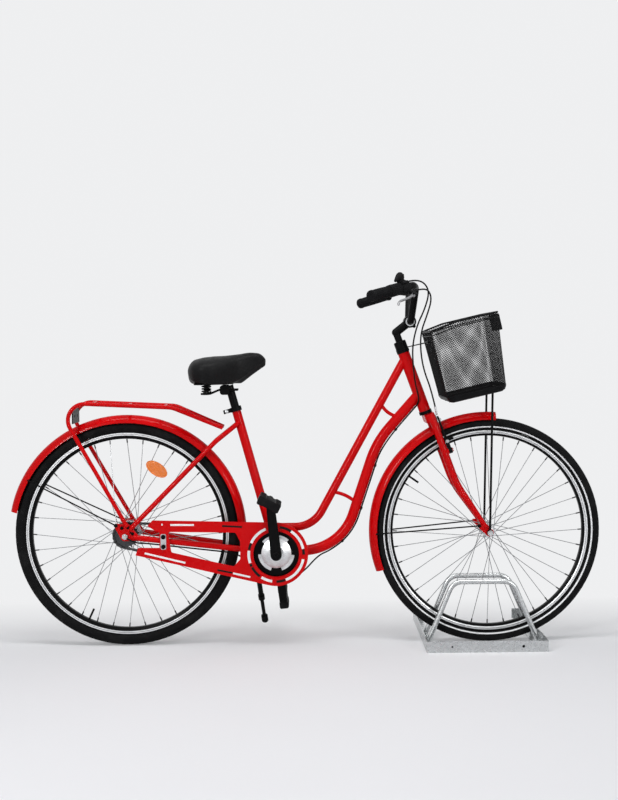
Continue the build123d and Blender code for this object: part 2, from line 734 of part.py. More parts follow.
# Chain drive
def sprocket_outline(teeth, pitch_radius, first_pin):
    """A toothed disc: round roller seats that open outwards, cut from a plain one."""
    seat_radius = ROLLER_RADIUS + ROLLER_SEAT_GAP
    reach = 2 * TOOTH_HEIGHT
    mouth = seat_radius + reach * TOOTH_FLARE
    throat = make_face(
        Polyline((0, -seat_radius), (reach, -mouth), (reach, mouth), (0, seat_radius), close=True)
    )
    seat = Pos(pitch_radius, 0) * (RegularPolygon(seat_radius, SEAT_SIDES, major_radius=False) + throat)
    disc = Circle(pitch_radius + TOOTH_HEIGHT)
    return disc - [Rot(0, 0, first_pin + i * 360 / teeth) * seat for i in range(teeth)]


RING_CENTRE = (BB_AHEAD, BB_HEIGHT)
COG_CENTRE = (0.0, TYRE_RADIUS)
line_tilt = math.degrees(math.atan2(BB_HEIGHT - TYRE_RADIUS, BB_AHEAD))
chain_lean = math.degrees(math.asin((RING_PITCH_RADIUS - COG_PITCH_RADIUS) / CHAIN_CENTRES))
STRAIGHT_LINKS = CHAIN_CENTRES * math.cos(math.radians(chain_lean)) / CHAIN_PITCH
RING_LINKS = CHAINRING_TEETH * (180 + 2 * chain_lean) / 360
COG_LINKS = SPROCKET_TEETH * (180 - 2 * chain_lean) / 360
TOP_LEAVE = line_tilt + 90 + chain_lean
LOW_LEAVE = line_tilt - 90 - chain_lean


def pin(number):
    """The place of a chain pin, counted from the top of the chainring towards the rear."""
    step = number % LINK_COUNT
    top_ring = polar(*RING_CENTRE, RING_PITCH_RADIUS, TOP_LEAVE)
    top_cog = polar(*COG_CENTRE, COG_PITCH_RADIUS, TOP_LEAVE)
    low_ring = polar(*RING_CENTRE, RING_PITCH_RADIUS, LOW_LEAVE)
    low_cog = polar(*COG_CENTRE, COG_PITCH_RADIUS, LOW_LEAVE)
    if step <= STRAIGHT_LINKS:
        share = step / STRAIGHT_LINKS
        return tuple(a + (b - a) * share for a, b in zip(top_ring, top_cog))
    step -= STRAIGHT_LINKS
    if step <= COG_LINKS:
        return polar(*COG_CENTRE, COG_PITCH_RADIUS, TOP_LEAVE + step * 360 / SPROCKET_TEETH)
    step -= COG_LINKS
    if step <= STRAIGHT_LINKS:
        share = step / STRAIGHT_LINKS
        return tuple(a + (b - a) * share for a, b in zip(low_cog, low_ring))
    step -= STRAIGHT_LINKS
    return polar(*RING_CENTRE, RING_PITCH_RADIUS, LOW_LEAVE + step * 360 / CHAINRING_TEETH)


def link_plate(low, high):
    """One side plate, drawn from pin to pin with its waist drawn in."""
    half, nose = CHAIN_PITCH / 2, PLATE_HALF_HEIGHT
    upper = [(-half - nose, 0), (-half, nose), (0, nose * PLATE_WAIST), (half, nose), (half + nose, 0)]
    lower = [(x, -z) for x, z in reversed(upper[1:-1])]
    plane = Plane(origin=(0, high, 0), x_dir=(1, 0, 0), z_dir=(0, -1, 0))
    return extrude(plane * make_face(Polyline(*upper, *lower, close=True)), high - low)


inner_outer = INNER_PLATE_OFFSET + PLATE_THICKNESS
inner_link = link_plate(INNER_PLATE_OFFSET, inner_outer) + link_plate(-inner_outer, -INNER_PLATE_OFFSET)
for end in (-1, 1):
    x = end * CHAIN_PITCH / 2
    inner_link += prism(
        Vector(x, -INNER_PLATE_OFFSET, 0), Vector(x, INNER_PLATE_OFFSET, 0), ROLLER_RADIUS, 6
    )
outer_low = inner_outer + PLATE_GAP
outer_link = [
    link_plate(outer_low, outer_low + PLATE_THICKNESS),
    link_plate(-outer_low - PLATE_THICKNESS, -outer_low),
]
links = []
for i in range(LINK_COUNT):
    (x0, z0), (x1, z1) = pin(i), pin(i + 1)
    place = Plane(
        origin=at((x0 + x1) / 2, -CHAIN_LINE, (z0 + z1) / 2),
        x_dir=(x1 - x0, 0, z1 - z0),
        z_dir=Vector(x1 - x0, 0, z1 - z0).cross(Vector(0, 1, 0)),
    )
    links += [place * piece for piece in ([inner_link] if i % 2 else outer_link)]
add("chain", Compound(children=links))

first_cog_pin = TOP_LEAVE + (math.ceil(STRAIGHT_LINKS) - STRAIGHT_LINKS) * 360 / SPROCKET_TEETH
tooth_low, tooth_high = -CHAIN_LINE - TOOTH_WIDTH / 2, -CHAIN_LINE + TOOTH_WIDTH / 2
cog = slab(
    Pos(*COG_CENTRE) * sprocket_outline(SPROCKET_TEETH, COG_PITCH_RADIUS, first_cog_pin),
    tooth_low,
    tooth_high,
)
cog += across(0, TYRE_RADIUS, -REAR_FACE + BODY_GAP, -SPROCKET_INNER, HUB_CONE_RADIUS + 5)
cog -= across(0, TYRE_RADIUS, -REAR_FACE, 0, AXLE_RADIUS + RUNNING)
add("rear_sprocket", cog)

ring_outline = sprocket_outline(CHAINRING_TEETH, RING_PITCH_RADIUS, TOP_LEAVE) - Circle(CHAINRING_INNER)
add("chainring", slab(Pos(*RING_CENTRE) * ring_outline, tooth_low, tooth_high))

wedges = [
    make_face(
        Polyline(
            (0, 0),
            polar(0, 0, 2 * DISC_RADIUS, middle - width / 2),
            polar(0, 0, 2 * DISC_RADIUS, middle + width / 2),
            close=True,
        )
    )
    for middle, width in DISC_NOTCHES
]
disc_outline = Circle(DISC_RADIUS) - wedges + Circle(DISC_DOME_RADII[0]) - Circle(SPINDLE_RADIUS)
disc_face = tooth_low - DISC_THICKNESS
disc = slab(Pos(*RING_CENTRE) * disc_outline, disc_face, tooth_low)
dome_base = at(BB_AHEAD, disc_face, BB_HEIGHT)
disc += cone(dome_base, dome_base - Vector(0, DISC_DOME_HEIGHT, 0), *DISC_DOME_RADII)
disc -= across(BB_AHEAD, BB_HEIGHT, -CRANK_INNER, disc_face, CRANK_BOSS_RADIUS)
disc -= across(BB_AHEAD, BB_HEIGHT, -CRANK_INNER, 0, SPINDLE_RADIUS)
add("chainring_disc", disc)

# Bottom bracket spindle, cranks and pedals
crank_outer = CRANK_INNER + CRANK_THICKNESS
spindle = across(BB_AHEAD, BB_HEIGHT, -crank_outer, crank_outer, SPINDLE_RADIUS)


def crank_end(side):
    """Where a pedal's axle leaves its crank: the right one stands up, the left one hangs."""
    return polar(*RING_CENTRE, CRANK_LENGTH, 90 + CRANK_LEAN + (0 if side < 0 else 180))


def crank(side):
    """A tapered arm between the spindle's boss and the pedal's eye."""
    eye_x, eye_z = crank_end(side)
    outline = make_hull(
        (Pos(*RING_CENTRE) * Circle(CRANK_BOSS_RADIUS)).edges()
        + (Pos(eye_x, eye_z) * Circle(CRANK_EYE_RADIUS)).edges()
    )
    faces = sorted((side * CRANK_INNER, side * crank_outer))
    arm = slab(outline, *faces)
    boss_start = CHAIN_LINE + TOOTH_WIDTH / 2 + DISC_THICKNESS
    if side < 0:
        arm += across(BB_AHEAD, BB_HEIGHT, -CRANK_INNER, -boss_start, CRANK_BOSS_RADIUS)
    arm -= across(BB_AHEAD, BB_HEIGHT, *sorted((side * crank_outer, 0)), SPINDLE_RADIUS)
    return arm - across(eye_x, eye_z, *faces, PEDAL_AXLE_RADIUS)


def pedal(side, tilt):
    """A block pedal: a barrel on the axle, two end plates and two treads."""
    eye_x, eye_z = crank_end(side)
    inner = crank_outer + PEDAL_GAP
    plane = Plane(
        origin=at(eye_x, side * inner, eye_z),
        x_dir=(math.cos(math.radians(tilt)), 0, -math.sin(math.radians(tilt))),
        z_dir=(0, side, 0),
    )
    body = Cylinder(PEDAL_BARREL_RADIUS, PEDAL_WIDTH, align=BASE)
    end_plate = Box(PEDAL_LENGTH - PEDAL_TREAD, PEDAL_HEIGHT - 6, PEDAL_PLATE, align=BASE)
    body += end_plate
    body += Pos(0, 0, PEDAL_WIDTH - PEDAL_PLATE) * end_plate
    for end in (-1, 1):
        tread = RectangleRounded(PEDAL_TREAD, PEDAL_HEIGHT, 4)
        tread = Pos(end * (PEDAL_LENGTH - PEDAL_TREAD) / 2, 0) * tread
        body += extrude(tread, PEDAL_WIDTH)
    return plane * (body - Cylinder(PEDAL_AXLE_RADIUS + RUNNING, PEDAL_WIDTH - PEDAL_PLATE / 2, align=BASE))


def pedal_axle(side):
    """The axle that carries a pedal, screwed into the crank."""
    eye_x, eye_z = crank_end(side)
    tip = crank_outer + PEDAL_GAP + PEDAL_WIDTH - PEDAL_PLATE / 2 - BODY_GAP
    return across(eye_x, eye_z, *sorted((side * CRANK_INNER, side * tip)), PEDAL_AXLE_RADIUS)


add("cranks", Compound(children=[crank(-1), crank(1)]))
add("crank_spindle", Compound(children=[spindle, pedal_axle(-1), pedal_axle(1)]))
add("right_pedal", pedal(-1, RIGHT_PEDAL_TILT))
add("left_pedal", pedal(1, LEFT_PEDAL_TILT))

# Chain guard: an upper and a lower bar from a ring round the chainring, with a lip behind its edge
ring_x, ring_z = RING_CENTRE
guard_low = ring_z - GUARD_RING_RADIUS
guard_outline = make_face(
    Polyline(
        (GUARD_REAR_TOP - 15, GUARD_BAR_TOP - 17),
        (GUARD_REAR_TOP, GUARD_BAR_TOP),
        (ring_x, ring_z + GUARD_RING_RADIUS),
        (ring_x, guard_low),
        (ring_x - 23, guard_low + 2.7),
        GUARD_REAR_LOW,
        (GUARD_REAR_LOW[0] + 9, GUARD_REAR_LOW[1] + 23),
        (GUARD_BRACKET_X - 12, GUARD_REAR_LOW[1] + 22),
        (GUARD_BRACKET_X - 12, GUARD_BAR_TOP - 36),
        (GUARD_REAR_TOP + 12, GUARD_BAR_TOP - 35),
        close=True,
    )
)
guard_outline += Pos(*RING_CENTRE) * Circle(GUARD_RING_RADIUS)
window = make_face(
    Polyline(
        (GUARD_BRACKET_X + 14, GUARD_BAR_TOP - 36),
        (ring_x - 124, GUARD_BAR_TOP - 40),
        (ring_x - 110, ring_z + 40),
        (ring_x - 110, ring_z - 14),
        (ring_x - 130, ring_z - 36),
        (GUARD_BRACKET_X + 24, ring_z + 9),
        close=True,
    )
)
guard_outline -= fillet(window.vertices(), 7)
guard_outline -= Pos(*RING_CENTRE) * Circle(GUARD_RING_HOLE)
guard = slab(guard_outline, -GUARD_PLANE - GUARD_THICKNESS, -GUARD_PLANE)
lip_ring = Pos(*RING_CENTRE) * (Circle(GUARD_RING_HOLE + GUARD_THICKNESS) - Circle(GUARD_RING_HOLE))
guard += slab(lip_ring, -GUARD_PLANE, -GUARD_PLANE + GUARD_LIP)
add("chain_guard", guard)

# Bracket that ties the guard's two bars to the chainstay, with its two screws
bracket_low, bracket_high = ring_z + 18, ring_z + 66
guard_face = -GUARD_PLANE - GUARD_THICKNESS
bracket = Pos(GUARD_BRACKET_X, (bracket_low + bracket_high) / 2) * RectangleRounded(
    GUARD_BRACKET_WIDTH, bracket_high - bracket_low, 5
)
bracket = slab(bracket, guard_face - GUARD_THICKNESS, guard_face)
for height in (bracket_low + 9, bracket_high - 9):
    screw_face = guard_face - GUARD_THICKNESS
    bracket += across(GUARD_BRACKET_X, height, screw_face - 4, screw_face, 5)
add("chain_guard_bracket", bracket)


# Mudguards
def mudguard(axle, span):
    """A curved strip of sheet round the tyre, drawn down at both edges."""
    start, end = span
    angle = math.radians(start)
    plane = Plane(
        origin=axle, x_dir=(0, 1, 0), z_dir=(math.sin(angle), 0, -math.cos(angle))
    )
    half = MUDGUARD_WIDTH / 2
    outer = ThreePointArc((-half, MUDGUARD_SKIRT), (0, MUDGUARD_RADIUS), (half, MUDGUARD_SKIRT))
    inside = half - MUDGUARD_THICKNESS
    inner = ThreePointArc(
        (inside, MUDGUARD_SKIRT), (0, MUDGUARD_RADIUS - MUDGUARD_THICKNESS), (-inside, MUDGUARD_SKIRT)
    )
    edges = [
        Line((half, MUDGUARD_SKIRT), (inside, MUDGUARD_SKIRT)),
        Line((-inside, MUDGUARD_SKIRT), (-half, MUDGUARD_SKIRT)),
    ]
    return revolve(plane * make_face(Curve() + [outer, inner] + edges), Axis(axle, (0, -1, 0)), end - start)


def guard_stay(axle, eyelet, eyelet_y, degrees):
    """A wire stay from an eyelet beside the axle to the mudguard's edge."""
    x, z = polar(axle.X, axle.Z, MUDGUARD_SKIRT + 4, degrees)
    half = MUDGUARD_WIDTH / 2 + STAY_WIRE_RADIUS + RUNNING
    start = Vector(axle.X + eyelet[0], eyelet_y, axle.Z + eyelet[1])
    wire = prism(start, Vector(x, half, z), STAY_WIRE_RADIUS, CORD_SIDES)
    eye = rod(start - Vector(0, STAY_WIRE_RADIUS, 0), start + Vector(0, STAY_WIRE_RADIUS, 0), EYELET_RADIUS)
    return wire + eye


add("rear_mudguard", mudguard(REAR_AXLE, REAR_MUDGUARD_SPAN))
rear_eye = REAR_FACE + DROPOUT_THICKNESS + STAY_WIRE_RADIUS
add("rear_mudguard_stays", pair(guard_stay(REAR_AXLE, REAR_EYELET, rear_eye, REAR_STAY_ANGLE) - dropout))

# Rear rack of bent tube, with cross bars and a drilled plate in its rear bend
shoulder = (RACK_SHOULDER[0], RACK_OFFSET, MUDGUARD_TOP + RACK_SHOULDER[1])
corner = (RACK_REAR_CORNER[0], RACK_OFFSET, MUDGUARD_TOP + RACK_REAR_CORNER[1])
rack_front = at(*RACK_FRONT, SEAT_TUBE_TOP - RACK_FRONT_DROP)
foot_y = REAR_FACE + DROPOUT_THICKNESS + RACK_TUBE_RADIUS
rack_foot = at(RACK_FOOT[0], foot_y, TYRE_RADIUS + RACK_FOOT[1])
rack_side = bent_tube(
    [rack_front, at(*shoulder), at(*corner), rack_foot], RACK_TUBE_RADIUS, list(RACK_BENDS)
)
rack_side = (rack_side - seat_stay - dropout).solids().sort_by(SortBy.VOLUME)[-1]
rack_slope = (corner[2] - shoulder[2]) / (corner[0] - shoulder[0])
rack_bars = []
for x in RACK_CROSS_BARS:
    z = shoulder[2] + (x - shoulder[0]) * rack_slope
    bar = across(x, z, -RACK_OFFSET, RACK_OFFSET, RACK_TUBE_RADIUS * 0.7)
    rack_bars.append(bar - rack_side - mirrored(rack_side))
add("rear_rack", Compound(children=[rack_side, mirrored(rack_side), *rack_bars]))

plate_x, plate_z = corner[0] + RACK_PLATE_PLACE[0], corner[2] + RACK_PLATE_PLACE[1]
plate_half = RACK_OFFSET - RACK_TUBE_RADIUS - RUNNING
rack_plate = Plane(origin=at(plate_x, 0, plate_z), x_dir=(0, 1, 0), z_dir=(-1, 0, 0)) * Box(
    2 * plate_half, RACK_PLATE_HEIGHT, RACK_PLATE_THICKNESS
)
hole_y, hole_radius = RACK_PLATE_HOLE
for y in (-hole_y, hole_y):
    rack_plate -= rod(at(plate_x - 9, y, plate_z), at(plate_x + 9, y, plate_z), hole_radius)
add("rack_plate", rack_plate)

# Kickstand: a bracket under the chainstays with a tilted pin, and a leg that swings up along the wheel
kick_pivot = bb_at(*KICK_PIVOT)
kick_foot = at(BB_AHEAD + KICK_FOOT[0], KICK_FOOT[1], KICK_FOOT_HEIGHT)
KICK_DOWN = (kick_foot - kick_pivot).normalized()
KICK_AXIS = KICK_DOWN.cross(Vector(*KICK_FOLDED).normalized()).normalized()
head_half = KICK_HEAD_LENGTH / 2
hinge = Plane(origin=kick_pivot, z_dir=KICK_AXIS)
lug = hinge * (Pos(0, 0, -head_half - 16) * Cylinder(KICK_HEAD_RADIUS, 16 - BODY_GAP, align=BASE))
beyond = hinge * (Pos(0, 0, -head_half - BODY_GAP) * Box(200, 200, 200, align=BASE))
kick_block = Pos(bb_at(KICK_PIVOT[0], 22, KICK_PIVOT[2] - 6)) * Box(22, 26, 40, align=BASE) - beyond
kick_plate = Pos(bb_at(KICK_PIVOT[0], 2, KICK_PIVOT[2] + 32.5)) * Box(34, 84, 6, align=BASE)
kick_bracket = kick_plate + kick_block + lug
kick_pin = hinge * (Pos(0, 0, -head_half - 8) * Cylinder(KICK_PIN_RADIUS, KICK_HEAD_LENGTH + 12, align=BASE))
add("rear_triangle", rear_side + mirrored(rear_side) + kick_bracket + kick_pin)

collar_point = kick_pivot + (kick_foot - kick_pivot) * KICK_COLLAR_SHARE
leg = rod(kick_pivot, collar_point, KICK_RADIUS)
leg += rod(collar_point, kick_foot - KICK_DOWN * KICK_FOOT_LENGTH * 0.4, KICK_LOWER_RADIUS)
leg += rod(collar_point - KICK_DOWN * 14, collar_point + KICK_DOWN * 4, KICK_RADIUS + 2.5)
leg += hinge * Cylinder(KICK_HEAD_RADIUS, KICK_HEAD_LENGTH)
leg -= hinge * Cylinder(KICK_PIN_RADIUS + RUNNING, 3 * KICK_HEAD_LENGTH)
foot_top = kick_foot - KICK_DOWN * KICK_FOOT_LENGTH
kick_shoe = rod(foot_top, kick_foot, KICK_FOOT_RADIUS) - leg
add("kickstand_leg", Compound(children=[leg, kick_shoe]))

# Seat post and saddle
post_low = seat_at(SEAT_TUBE_TOP - POST_INSERT)
post_top = seat_at(POST_TOP)
seat_post = rod(post_low, post_top, SEAT_POST_RADIUS)


def saddle_at(x, y, z):
    """A point measured from the top of the seat post."""
    return post_top + Vector(x, y, z)


clamp_x, clamp_z = SADDLE_CLAMP_PLACE
saddle_clamp = Pos(saddle_at(clamp_x, 0, clamp_z)) * Box(*SADDLE_CLAMP_SIZE)
saddle_clamp = fillet(saddle_clamp.edges().filter_by(Axis.Y), 9)
add("seat_post", seat_post)
RAIL_OFFSET = SADDLE_CLAMP_SIZE[1] / 2 - 4
rail_cut = [
    rod(saddle_at(clamp_x - 40, y, clamp_z), saddle_at(clamp_x + 40, y, clamp_z), RAIL_RADIUS)
    for y in (-RAIL_OFFSET, RAIL_OFFSET)
]
saddle_clamp = saddle_clamp - seat_post - rail_cut


def saddle_section(station):
    """One slice across the saddle: a crowned top, drawn-in flanks and a flat underside."""
    x, half, top, shoulder_z = station
    start, rise = SADDLE_NOSE_RISE
    low = SADDLE_BOTTOM - 4 + max(0.0, x - start) / (SADDLE_STATIONS[-1][0] - start) * (rise + 10)
    tuck = half * 0.86
    plane = Plane(origin=saddle_at(SADDLE_REAR + x, 0, 0), x_dir=(0, 1, 0), z_dir=(1, 0, 0))
    crown = ThreePointArc((-half, shoulder_z), (0, top), (half, shoulder_z))
    flanks = Polyline((half, shoulder_z), (tuck, low), (-tuck, low), (-half, shoulder_z))
    return plane * make_face(Curve() + [crown, flanks])


saddle = loft([saddle_section(station) for station in SADDLE_STATIONS])
saddle -= Pos(saddle_at(0, 0, SADDLE_BOTTOM)) * Box(
    500, 500, 60, align=(Align.CENTER, Align.CENTER, Align.MAX)
)
add("saddle_cover", saddle)

base_outline = make_hull(
    (Pos(SADDLE_REAR + 42, 58) * Circle(26)).edges()
    + (Pos(SADDLE_REAR + 42, -58) * Circle(26)).edges()
    + (Pos(SADDLE_REAR + 112, 0) * Circle(22)).edges()
)
base_plane = Plane(origin=saddle_at(0, 0, SADDLE_BOTTOM - SADDLE_BASE_THICKNESS))
saddle_base = extrude(base_plane * base_outline, SADDLE_BASE_THICKNESS)
saddle_base = saddle_base - seat_post
add("saddle_base", saddle_base)


def biarc(start, start_way, end, end_way):
    """Two arcs that leave and arrive along given ways."""
    span = end - start
    ways = start_way + end_way
    spread = 2 * (1 - start_way.dot(end_way))
    along = span.dot(ways)
    reach = (-along + math.sqrt(along**2 + spread * span.dot(span))) / spread
    middle = (start + end + (start_way - end_way) * reach) * 0.5
    chord = (middle - start).normalized()
    middle_way = chord * (2 * start_way.dot(chord)) - start_way
    return [TangentArc(start, middle, tangent=start_way), TangentArc(middle, end, tangent=middle_way)]


def spring(x, y, low, high):
    """A coil spring of round wire, drawn as half turns of two arcs each."""
    rise = (high - low) / SPRING_TURNS
    slope = rise / (math.tau * SPRING_RADIUS)

    def coil(turn):
        angle = math.tau * turn
        along, aside = SPRING_RADIUS * math.cos(angle), SPRING_RADIUS * math.sin(angle)
        place = saddle_at(x + along, y + aside, low + rise * turn)
        way = Vector(-math.sin(angle), math.cos(angle), slope).normalized()
        return place, way

    arcs = []
    for half_turn in range(2 * SPRING_TURNS):
        arcs += biarc(*coil(half_turn / 2), *coil(half_turn / 2 + 0.5))
    path = Wire([edge for arc in arcs for edge in arc.edges()])
    return swept(RegularPolygon(SPRING_WIRE, SPRING_SIDES), path)


spring_x, spring_y = SPRING_PLACE
base_low = SADDLE_BOTTOM - SADDLE_BASE_THICKNESS
coil_low = SPRING_SEAT + SPRING_WIRE + RAIL_RADIUS + RUNNING
coil_high = base_low - SPRING_WIRE - RUNNING - 0.3
add("saddle_springs", pair(spring(spring_x, spring_y, coil_low, coil_high)))
print("spring gap to itself", round((coil_high - coil_low) / SPRING_TURNS - 2 * SPRING_WIRE, 2))

rail = bent_cord(
    [
        saddle_at(clamp_x + 40, RAIL_OFFSET, clamp_z),
        saddle_at(clamp_x - 18, RAIL_OFFSET, clamp_z),
        saddle_at(spring_x + 14, spring_y, SPRING_SEAT),
        saddle_at(spring_x - 14, spring_y, SPRING_SEAT),
    ],
    RAIL_RADIUS,
    14,
)
spring_foot = saddle_at(spring_x, spring_y, SPRING_SEAT)
cup_half = Vector(0, 0, RAIL_RADIUS)
seat_cup = rod(spring_foot - cup_half, spring_foot + cup_half, SPRING_RADIUS)
rail_side = rail + seat_cup
add("saddle_rails", Compound(children=[saddle_clamp, rail_side, mirrored(rail_side)]))

# Fork: steerer, crown, two tapered and raked blades with brake bosses and ends
crown_top = HEAD_BOTTOM - HEADSET_CUP_HEIGHT - BODY_GAP
crown_low = crown_top - CROWN_HEIGHT
steerer_top = HEAD_TOP + HEADSET_CUP_HEIGHT + BODY_GAP + BRACKET_RING + LOCKNUT_HEIGHT
quill_low = steerer_top - QUILL_INSERT
steerer = on_steer(STEERER_RADIUS, crown_low, steerer_top)
steerer -= on_steer(QUILL_RADIUS, quill_low, steerer_top + 1)
crown_sketch = Pos(BLADE_SETBACK / 2, 0) * RectangleRounded(CROWN_DEPTH, CROWN_WIDTH, CROWN_DEPTH / 2 - 1)
crown = extrude(STEER * (Pos(0, 0, crown_low) * crown_sketch), CROWN_HEIGHT)
AXLE_ALONG = -FORK_OFFSET * math.tan(TILT)


def fork_blade(side):
    """A blade that is straight below the crown, then rakes forward and tapers to its end."""
    end_gap = 20.0
    knee_point = steer(BLADE_SETBACK, side * BLADE_OFFSET, BLADE_KNEE)
    end_y = side * (FRONT_HUB_WIDTH / 2 + FORK_END_THICKNESS / 2)
    axle_point = steer(FORK_OFFSET, end_y, AXLE_ALONG)
    end_point = axle_point + (knee_point - axle_point).normalized() * end_gap
    taper_start = knee_point + (end_point - knee_point).normalized() * BLADE_TAPER_START
    top = steer(BLADE_SETBACK, side * BLADE_OFFSET, crown_low + 2)
    blade = bent_tube([top, knee_point, taper_start], BLADE_TOP_RADIUS, BLADE_BEND)
    return blade + cone(taper_start, end_point, BLADE_TOP_RADIUS, BLADE_END_RADIUS)


def fork_end(side):
    """The plate at a blade's foot that holds the axle and an eyelet for the mudguard's stay."""
    near = FRONT_HUB_WIDTH / 2
    outline = make_hull(
        (Pos(WHEELBASE, TYRE_RADIUS) * Circle(NUT_RADIUS + 3)).edges()
        + (Pos(WHEELBASE - 16, TYRE_RADIUS + 22) * Circle(BLADE_END_RADIUS)).edges()
        + (Pos(WHEELBASE + FRONT_EYELET[0], TYRE_RADIUS + FRONT_EYELET[1]) * Circle(EYELET_RADIUS)).edges()
    )
    outline -= Pos(WHEELBASE, TYRE_RADIUS) * Circle(AXLE_RADIUS)
    return slab(outline, *sorted((side * near, side * (near + FORK_END_THICKNESS))))


def brake_boss(side):
    """The pivot post of one brake arm, standing forward from the blade."""
    y = side * BLADE_OFFSET
    root = steer(BLADE_SETBACK, y, BOSS_HEIGHT)
    shoulder_point = steer(ARM_PLANE - ARM_THICKNESS / 2 - BODY_GAP, y, BOSS_HEIGHT)
    tip = steer(ARM_PLANE + ARM_THICKNESS / 2 + 3, y, BOSS_HEIGHT)
    return rod(root, shoulder_point, BOSS_RADIUS + 3) + rod(root, tip, BOSS_RADIUS)


fork = steerer + crown
for side in (-1, 1):
    fork += fork_blade(side)
    fork += fork_end(side)
    fork += brake_boss(side)
add("fork", fork)

front_end = FRONT_HUB_WIDTH / 2 + FORK_END_THICKNESS
rod_foot = 2 * BASKET_ROD_RADIUS
nut_face = front_end + rod_foot
front_axle_end = nut_face + NUT_LENGTH + AXLE_STICK_OUT / 2
front_axle = across(WHEELBASE, TYRE_RADIUS, -front_axle_end, front_axle_end, AXLE_RADIUS)
for side in (-1, 1):
    start = at(WHEELBASE, side * nut_face, TYRE_RADIUS)
    front_axle += prism(start, start + Vector(0, side * NUT_LENGTH, 0), NUT_RADIUS, 6)
add("front_axle", front_axle)

ring_low = HEAD_TOP + HEADSET_CUP_HEIGHT + BODY_GAP
locknut_low = ring_low + BRACKET_RING
locknut = on_steer(LOCKNUT_RADIUS, locknut_low, steerer_top)
locknut -= on_steer(STEERER_RADIUS, locknut_low - 1, steerer_top + 1)
add("headset_locknut", locknut)

# Quill stem and handlebar
elbow = steer(0, 0, ELBOW_HEIGHT)
clamp_centre = elbow + Vector(STEM_REACH[0], 0, STEM_REACH[1])
clamp_low = clamp_centre - Vector(0, STEM_CLAMP_WIDTH / 2, 0)
clamp_high = clamp_centre + Vector(0, STEM_CLAMP_WIDTH / 2, 0)
stem = on_steer(QUILL_RADIUS, quill_low, ELBOW_HEIGHT)
stem += Pos(elbow) * Sphere(STEM_ARM_RADIUS)
stem += rod(elbow, clamp_centre, STEM_ARM_RADIUS)
stem += rod(clamp_low, clamp_high, STEM_CLAMP_RADIUS)
stem -= rod(clamp_low - Vector(0, 1, 0), clamp_high + Vector(0, 1, 0), BAR_RADIUS)
add("stem", stem)


def bar_point(place, side):
    """A point of the handlebar, measured from the middle of its clamp."""
    return clamp_centre + Vector(place[0], side * place[1], place[2])


flat = (0.0, BAR_FLAT, 0.0)
BAR_ROUTE = [
    *(bar_point(place, -1) for place in (BAR_END, BAR_SWEEP_POINT, BAR_RISE_POINT, flat)),
    *(bar_point(place, 1) for place in (flat, BAR_RISE_POINT, BAR_SWEEP_POINT, BAR_END)),
]
add("handlebar", bent_tube(BAR_ROUTE, BAR_RADIUS, BAR_BEND))


def grip_frame(side):
    """The end of the bar, its way inwards and the two ways ahead of it and above it."""
    end = bar_point(BAR_END, side)
    inward = (bar_point(BAR_SWEEP_POINT, side) - end).normalized()
    ahead = Vector(abs(inward.Y), side * inward.X, 0).normalized()
    return end, inward, ahead, ahead.cross(inward) * -side


def sleeve(end, inward, start, length, radius, bore):
    """A sleeve on the bar's end run."""
    low = end + inward * start
    return rod(low, low + inward * length, radius) - rod(low - inward, low + inward * (length + 1), bore)


left_end, left_inward, _, _ = grip_frame(1)
right_end, right_inward, right_ahead, right_up = grip_frame(-1)
lever_drop = math.radians(LEVER_DROP_ANGLE)
lever_way = right_ahead * math.cos(lever_drop) - right_up * math.sin(lever_drop)


def grip(end, inward, length):
    """A rubber grip closed at the bar's end, with a collar at each end."""
    cap = rod(end - inward * GRIP_CAP, end, GRIP_RADIUS)
    body = sleeve(end, inward, 0, length, GRIP_RADIUS - 1, BAR_RADIUS)
    body += sleeve(end, inward, 0, 6, GRIP_RADIUS, BAR_RADIUS)
    body += sleeve(end, inward, length - 6, 6, GRIP_RADIUS + 2, BAR_RADIUS)
    return body + cap


left_grip = grip(left_end, left_inward, GRIP_LENGTH)
right_grip = grip(right_end, right_inward, SHORT_GRIP_LENGTH)
add("grips", Compound(children=[left_grip, right_grip]))
twist_start = SHORT_GRIP_LENGTH + BODY_GAP
twist_bore = BAR_RADIUS + RUNNING
add("twist_grip", sleeve(right_end, right_inward, twist_start, TWIST_LENGTH, TWIST_RADIUS, twist_bore))
shifter_start = twist_start + TWIST_LENGTH + BODY_GAP
shifter_low = right_end + right_inward * shifter_start
shifter_high = shifter_low + right_inward * SHIFTER_LENGTH
shifter = cone(shifter_low, shifter_high, TWIST_RADIUS, SHIFTER_RADIUS)
bell_foot = shifter_high - right_inward * BELL_RADIUS
bell_base = bell_foot + right_up * BELL_REACH
shifter += rod(bell_foot, bell_base, BELL_RADIUS / 2)
shifter += rod(bell_base, bell_base + right_up * BELL_HEIGHT, BELL_RADIUS)
shifter -= rod(shifter_low - right_inward, shifter_high + right_inward, BAR_RADIUS)
lever_clamp_start = shifter_start + SHIFTER_LENGTH
lever_clamp = sleeve(
    right_end, right_inward, lever_clamp_start, LEVER_CLAMP_LENGTH, LEVER_CLAMP_RADIUS, BAR_RADIUS
)

